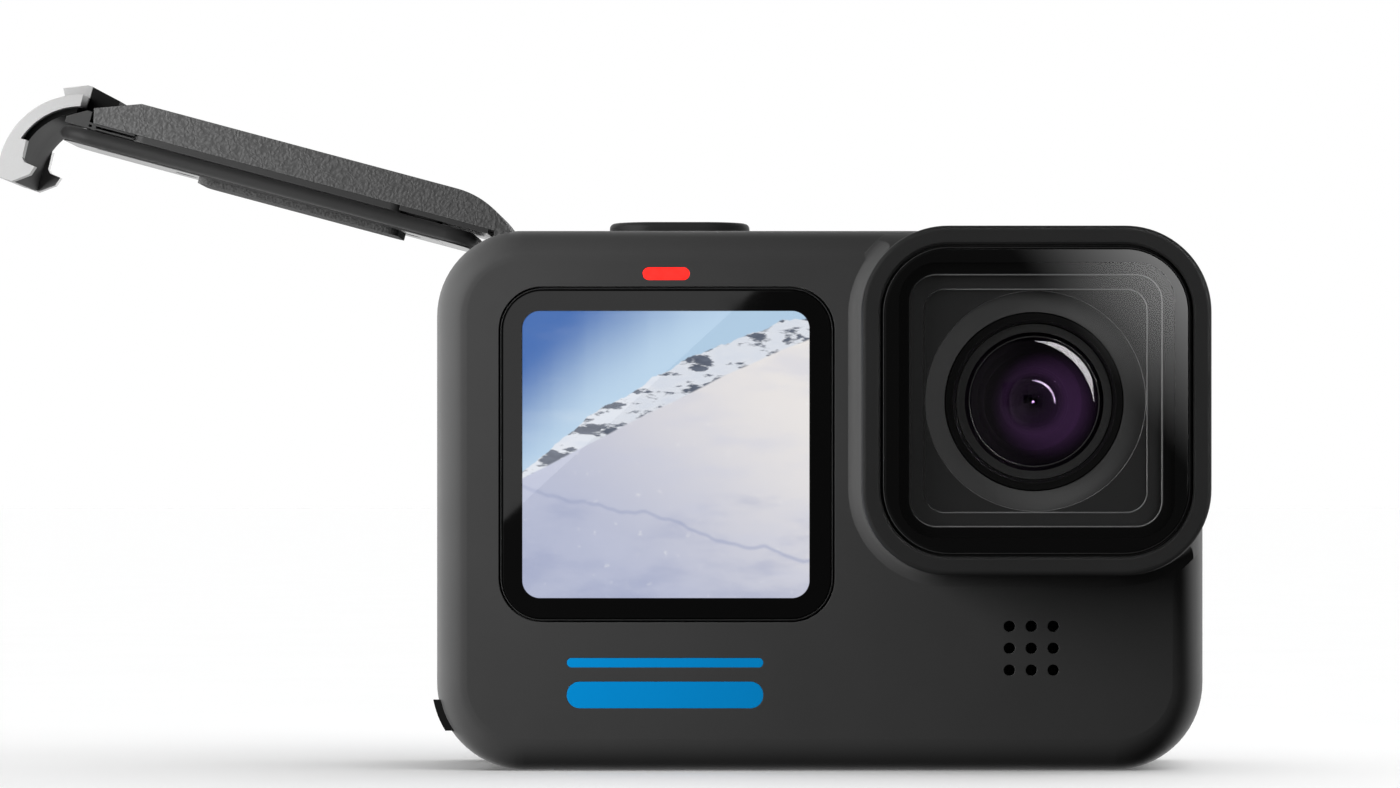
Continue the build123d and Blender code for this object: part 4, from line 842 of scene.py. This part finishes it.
def card_material(name, strength, ramp_from=None, ramp_to=None):
    """An even light card, or one that brightens from one point to another."""
    g = Graph(name)
    if ramp_from is None:
        power = g.total(strength, (g.noise(60.0), 0.02))
    else:
        along = [b - a for a, b in zip(ramp_from, ramp_to)]
        length = sum(c * c for c in along)
        off = g.node("VectorMath", {0: g.place(), 1: ramp_from}, operation="SUBTRACT").outputs[0]
        dot = g.node("VectorMath", {0: off, 1: along}, operation="DOT_PRODUCT").outputs["Value"]
        part = g.math("MINIMUM", g.math("MAXIMUM", g.math("DIVIDE", dot, length), 0.0), 1.0)
        power = g.total(ROOM_GLOW, (g.math("POWER", part, 1.4), strength))
    return g.finish(g.node("Emission", {"Strength": power}).outputs[0])


def mirrored(x, z):
    """Where a point of the camera's front face sees the plane of the light cards."""
    out_x = x + (x - CAMERA_AT[0]) * GLASS_TO_CARD
    return (out_x, CARD_Y, z + (z - CAMERA_AT[2]) * GLASS_TO_CARD)


def studio_world():
    """A white room: white where the camera looks, and a soft gradient where it lights the object."""
    world = bpy.data.worlds.new("studio")
    bpy.context.scene.world = world
    world.use_nodes = True
    g = Graph("studio", world.node_tree)
    way = g.node("TexCoord").outputs["Generated"]
    x, y, z = g.node("SeparateXYZ", {0: way}).outputs[:]
    fill = g.math("MULTIPLY", g.step(x, 0.9, -0.9, 0.04, 0.14), g.step(z, -0.5, 0.3, 0.15, 1.0))
    behind = g.step(y, 0.35, 0.9)
    left = g.step(x, 0.1, -0.8)
    rim = g.total(ROOM_GLOW, (left, 0.06), (behind, 0.85))
    path = g.node("LightPath").outputs
    seen = g.mix(path["Is Glossy Ray"], g.node("CombineColor", {0: fill, 1: fill, 2: fill}).outputs[0],
                 g.node("CombineColor", {0: rim, 1: rim, 2: rim}).outputs[0])
    seen = g.mix(path["Is Camera Ray"], seen, (1.0, 1.0, 1.0, 1.0))
    out = g.node("OutputWorld")
    background = g.node("Background", {"Color": seen, "Strength": 1.0})
    g.tree.links.new(background.outputs[0], out.inputs["Surface"])


def softbox(name, at, aim, size, power, takes=None, leaves=None):
    """A soft light that lights surfaces but isn't itself seen or mirrored, with its size in mm."""
    data = bpy.data.lights.new(name, "AREA")
    data.shape = "DISK"
    data.size = size * MM
    data.energy = power
    light = add_object(name, data)
    light.location = [c * MM for c in at]
    towards = mathutils.Vector(aim) - mathutils.Vector(at)
    light.rotation_euler = towards.to_track_quat("-Z", "Y").to_euler()
    light.visible_camera = False
    light.visible_glossy = False
    if takes or leaves:
        link_light(light, name, takes, leaves)


def seen_in_dome(radius, turn, away):
    """Where the photographer sees light in the lens dome: at a radius and an angle round the axis."""
    out = (math.cos(turn), math.sin(turn))
    fore = math.sqrt(DOME ** 2 - radius ** 2)
    point = mathutils.Vector((LENS_X + radius * out[0], DOME_FRONT + DOME - fore, LENS_Z + radius * out[1]))
    normal = mathutils.Vector((radius * out[0], -fore, radius * out[1])) / DOME
    return point + (point - mathutils.Vector(CAMERA_AT)).normalized().reflect(normal) * away


CRESCENT_STEPS = 24
CRESCENT_AWAY = 300.0


def crescent_card(name, turn, spread, inner, outer, material):
    """A curved light card that the domed lens element mirrors as a crescent.

    turn is the crescent's middle direction round the lens axis and spread is how far it reaches to
    either side, in degrees. inner and outer are its radii at the middle, and it ends in two points.
    """
    corners = []
    for i in range(CRESCENT_STEPS + 1):
        part = 2 * i / CRESCENT_STEPS - 1
        way = math.radians(turn + spread * part)
        for radius in (inner + (outer - inner) * part * part, outer):
            corners.append(seen_in_dome(radius, way, CRESCENT_AWAY))
    mesh = bpy.data.meshes.new(name)
    faces = [(2 * i, 2 * i + 1, 2 * i + 3, 2 * i + 2) for i in range(CRESCENT_STEPS)]
    mesh.from_pydata([[c * MM for c in p] for p in corners], [], faces)
    mesh.materials.append(material)
    card = add_object(name, mesh)
    only_reflected(card)
    return card


FLOOR_REACH = 20000.0
FLOOR_FRONT = -200.0
floor = add_plane("floor", [(-FLOOR_REACH, FLOOR_FRONT, 0), (FLOOR_REACH, FLOOR_FRONT, 0),
                            (FLOOR_REACH, FLOOR_REACH, 0), (-FLOOR_REACH, FLOOR_REACH, 0)], pale_floor())
floor.visible_glossy = False
floor.visible_diffuse = False

# The front display's glass mirrors a card whose slanted edge crosses it between these two points.
near, far = mirrored(-2.0, 48.5), mirrored(-38.0, 15.5)
display_card = add_plane("display_card",
                         [near, far, (-CARD_EDGE, CARD_Y, far[2]), (-CARD_EDGE, CARD_Y, CARD_EDGE),
                          (near[0], CARD_Y, CARD_EDGE)], card_material("display_card", 0.9))
only_reflected(display_card)
link_light(display_card, "display_card", takes=[nodes["front_display_glass"]])

# The lens cover's glass mirrors a card that brightens from its lower left to its upper right.
cover_card = add_plane("cover_card", [(5, CARD_Y, 5), (80, CARD_Y, 5), (80, CARD_Y, 85), (5, CARD_Y, 85)],
                       card_material("cover_card", 4.1, (34.6, CARD_Y, 63.9), (48.5, CARD_Y, 75.0)))
only_reflected(cover_card)
link_light(cover_card, "cover_card", takes=[nodes["lens_cover_glass"]])

# The front lens element mirrors a crescent, and the second one a small round dot.
RIMS = [bpy.data.objects[name] for name in ("element_rim", "second_element_rim", "stop_rim")]
LENS_PARTS = [nodes[name] for name in nodes if name.startswith("lens_")] + RIMS
crescent = crescent_card("lens_card", 42, 56, 5.15, 5.75, card_material("lens_card", 11.0))
link_light(crescent, "lens_card", takes=LENS_PARTS)

DOT_RADIUS = 12
dot_x, dot_y, dot_z = seen_in_dome(0.0, 0.0, 340.0)
dot_outline = [(dot_x + DOT_RADIUS * a, dot_y, dot_z + DOT_RADIUS * b) for _, (a, b) in circle(LENS, 1.0, 24)]
dot_card = add_plane("dot_card", dot_outline, card_material("dot_card", 30.0))
only_reflected(dot_card)
link_light(dot_card, "dot_card", takes=[nodes["lens_second_element"]])

MIDDLE = (0, 0, 22)
PALE_NAMES = ("battery", "battery_pull_tab", "memory_card", "door_latch", "latch_slide")
LEFT_OUT = [floor] + [nodes[name] for name in PALE_NAMES]
softbox("key", (-112, -86, 62), (-20, 0, 28), 90, 0.285, leaves=[floor])
softbox("lens_fill", (110, -300, 60), (LENS_X, -18, LENS_Z), 140, 0.55, takes=LENS_PARTS)
softbox("left_rim", (-220, 85, 30), MIDDLE, 90, 1.5, leaves=LEFT_OUT)
softbox("left_graze", (-300, -45, 40), MIDDLE, 60, 1.3, leaves=LEFT_OUT)
softbox("right_rim", (230, 70, 30), MIDDLE, 80, 2.2, leaves=[floor])
softbox("rear_key", (60, 260, 160), MIDDLE, 200, 0.9, leaves=[floor])

# A broad sun that lights the floor alone and casts the soft shadow under the camera.
sun_data = bpy.data.lights.new("overhead", "SUN")
sun_data.energy = 3.25
sun_data.angle = math.radians(105)
sun = add_object("overhead", sun_data)
sun.rotation_euler = (0, math.radians(18), 0)
sun.visible_glossy = False
link_light(sun, "overhead", takes=[floor])

studio_world()

camera_data = bpy.data.cameras.new("camera")
camera_data.lens = FOCAL
camera_data.sensor_width = SENSOR
camera_data.shift_x, camera_data.shift_y = SHIFT
camera_data.clip_start = 0.01
camera_data.clip_end = 100.0
camera = add_object("camera", camera_data)
camera.location = [c * MM for c in CAMERA_AT]
camera.rotation_euler = (math.radians(90), 0, 0)
bpy.context.scene.camera = camera
bpy.context.scene.view_settings.view_transform = "Standard"
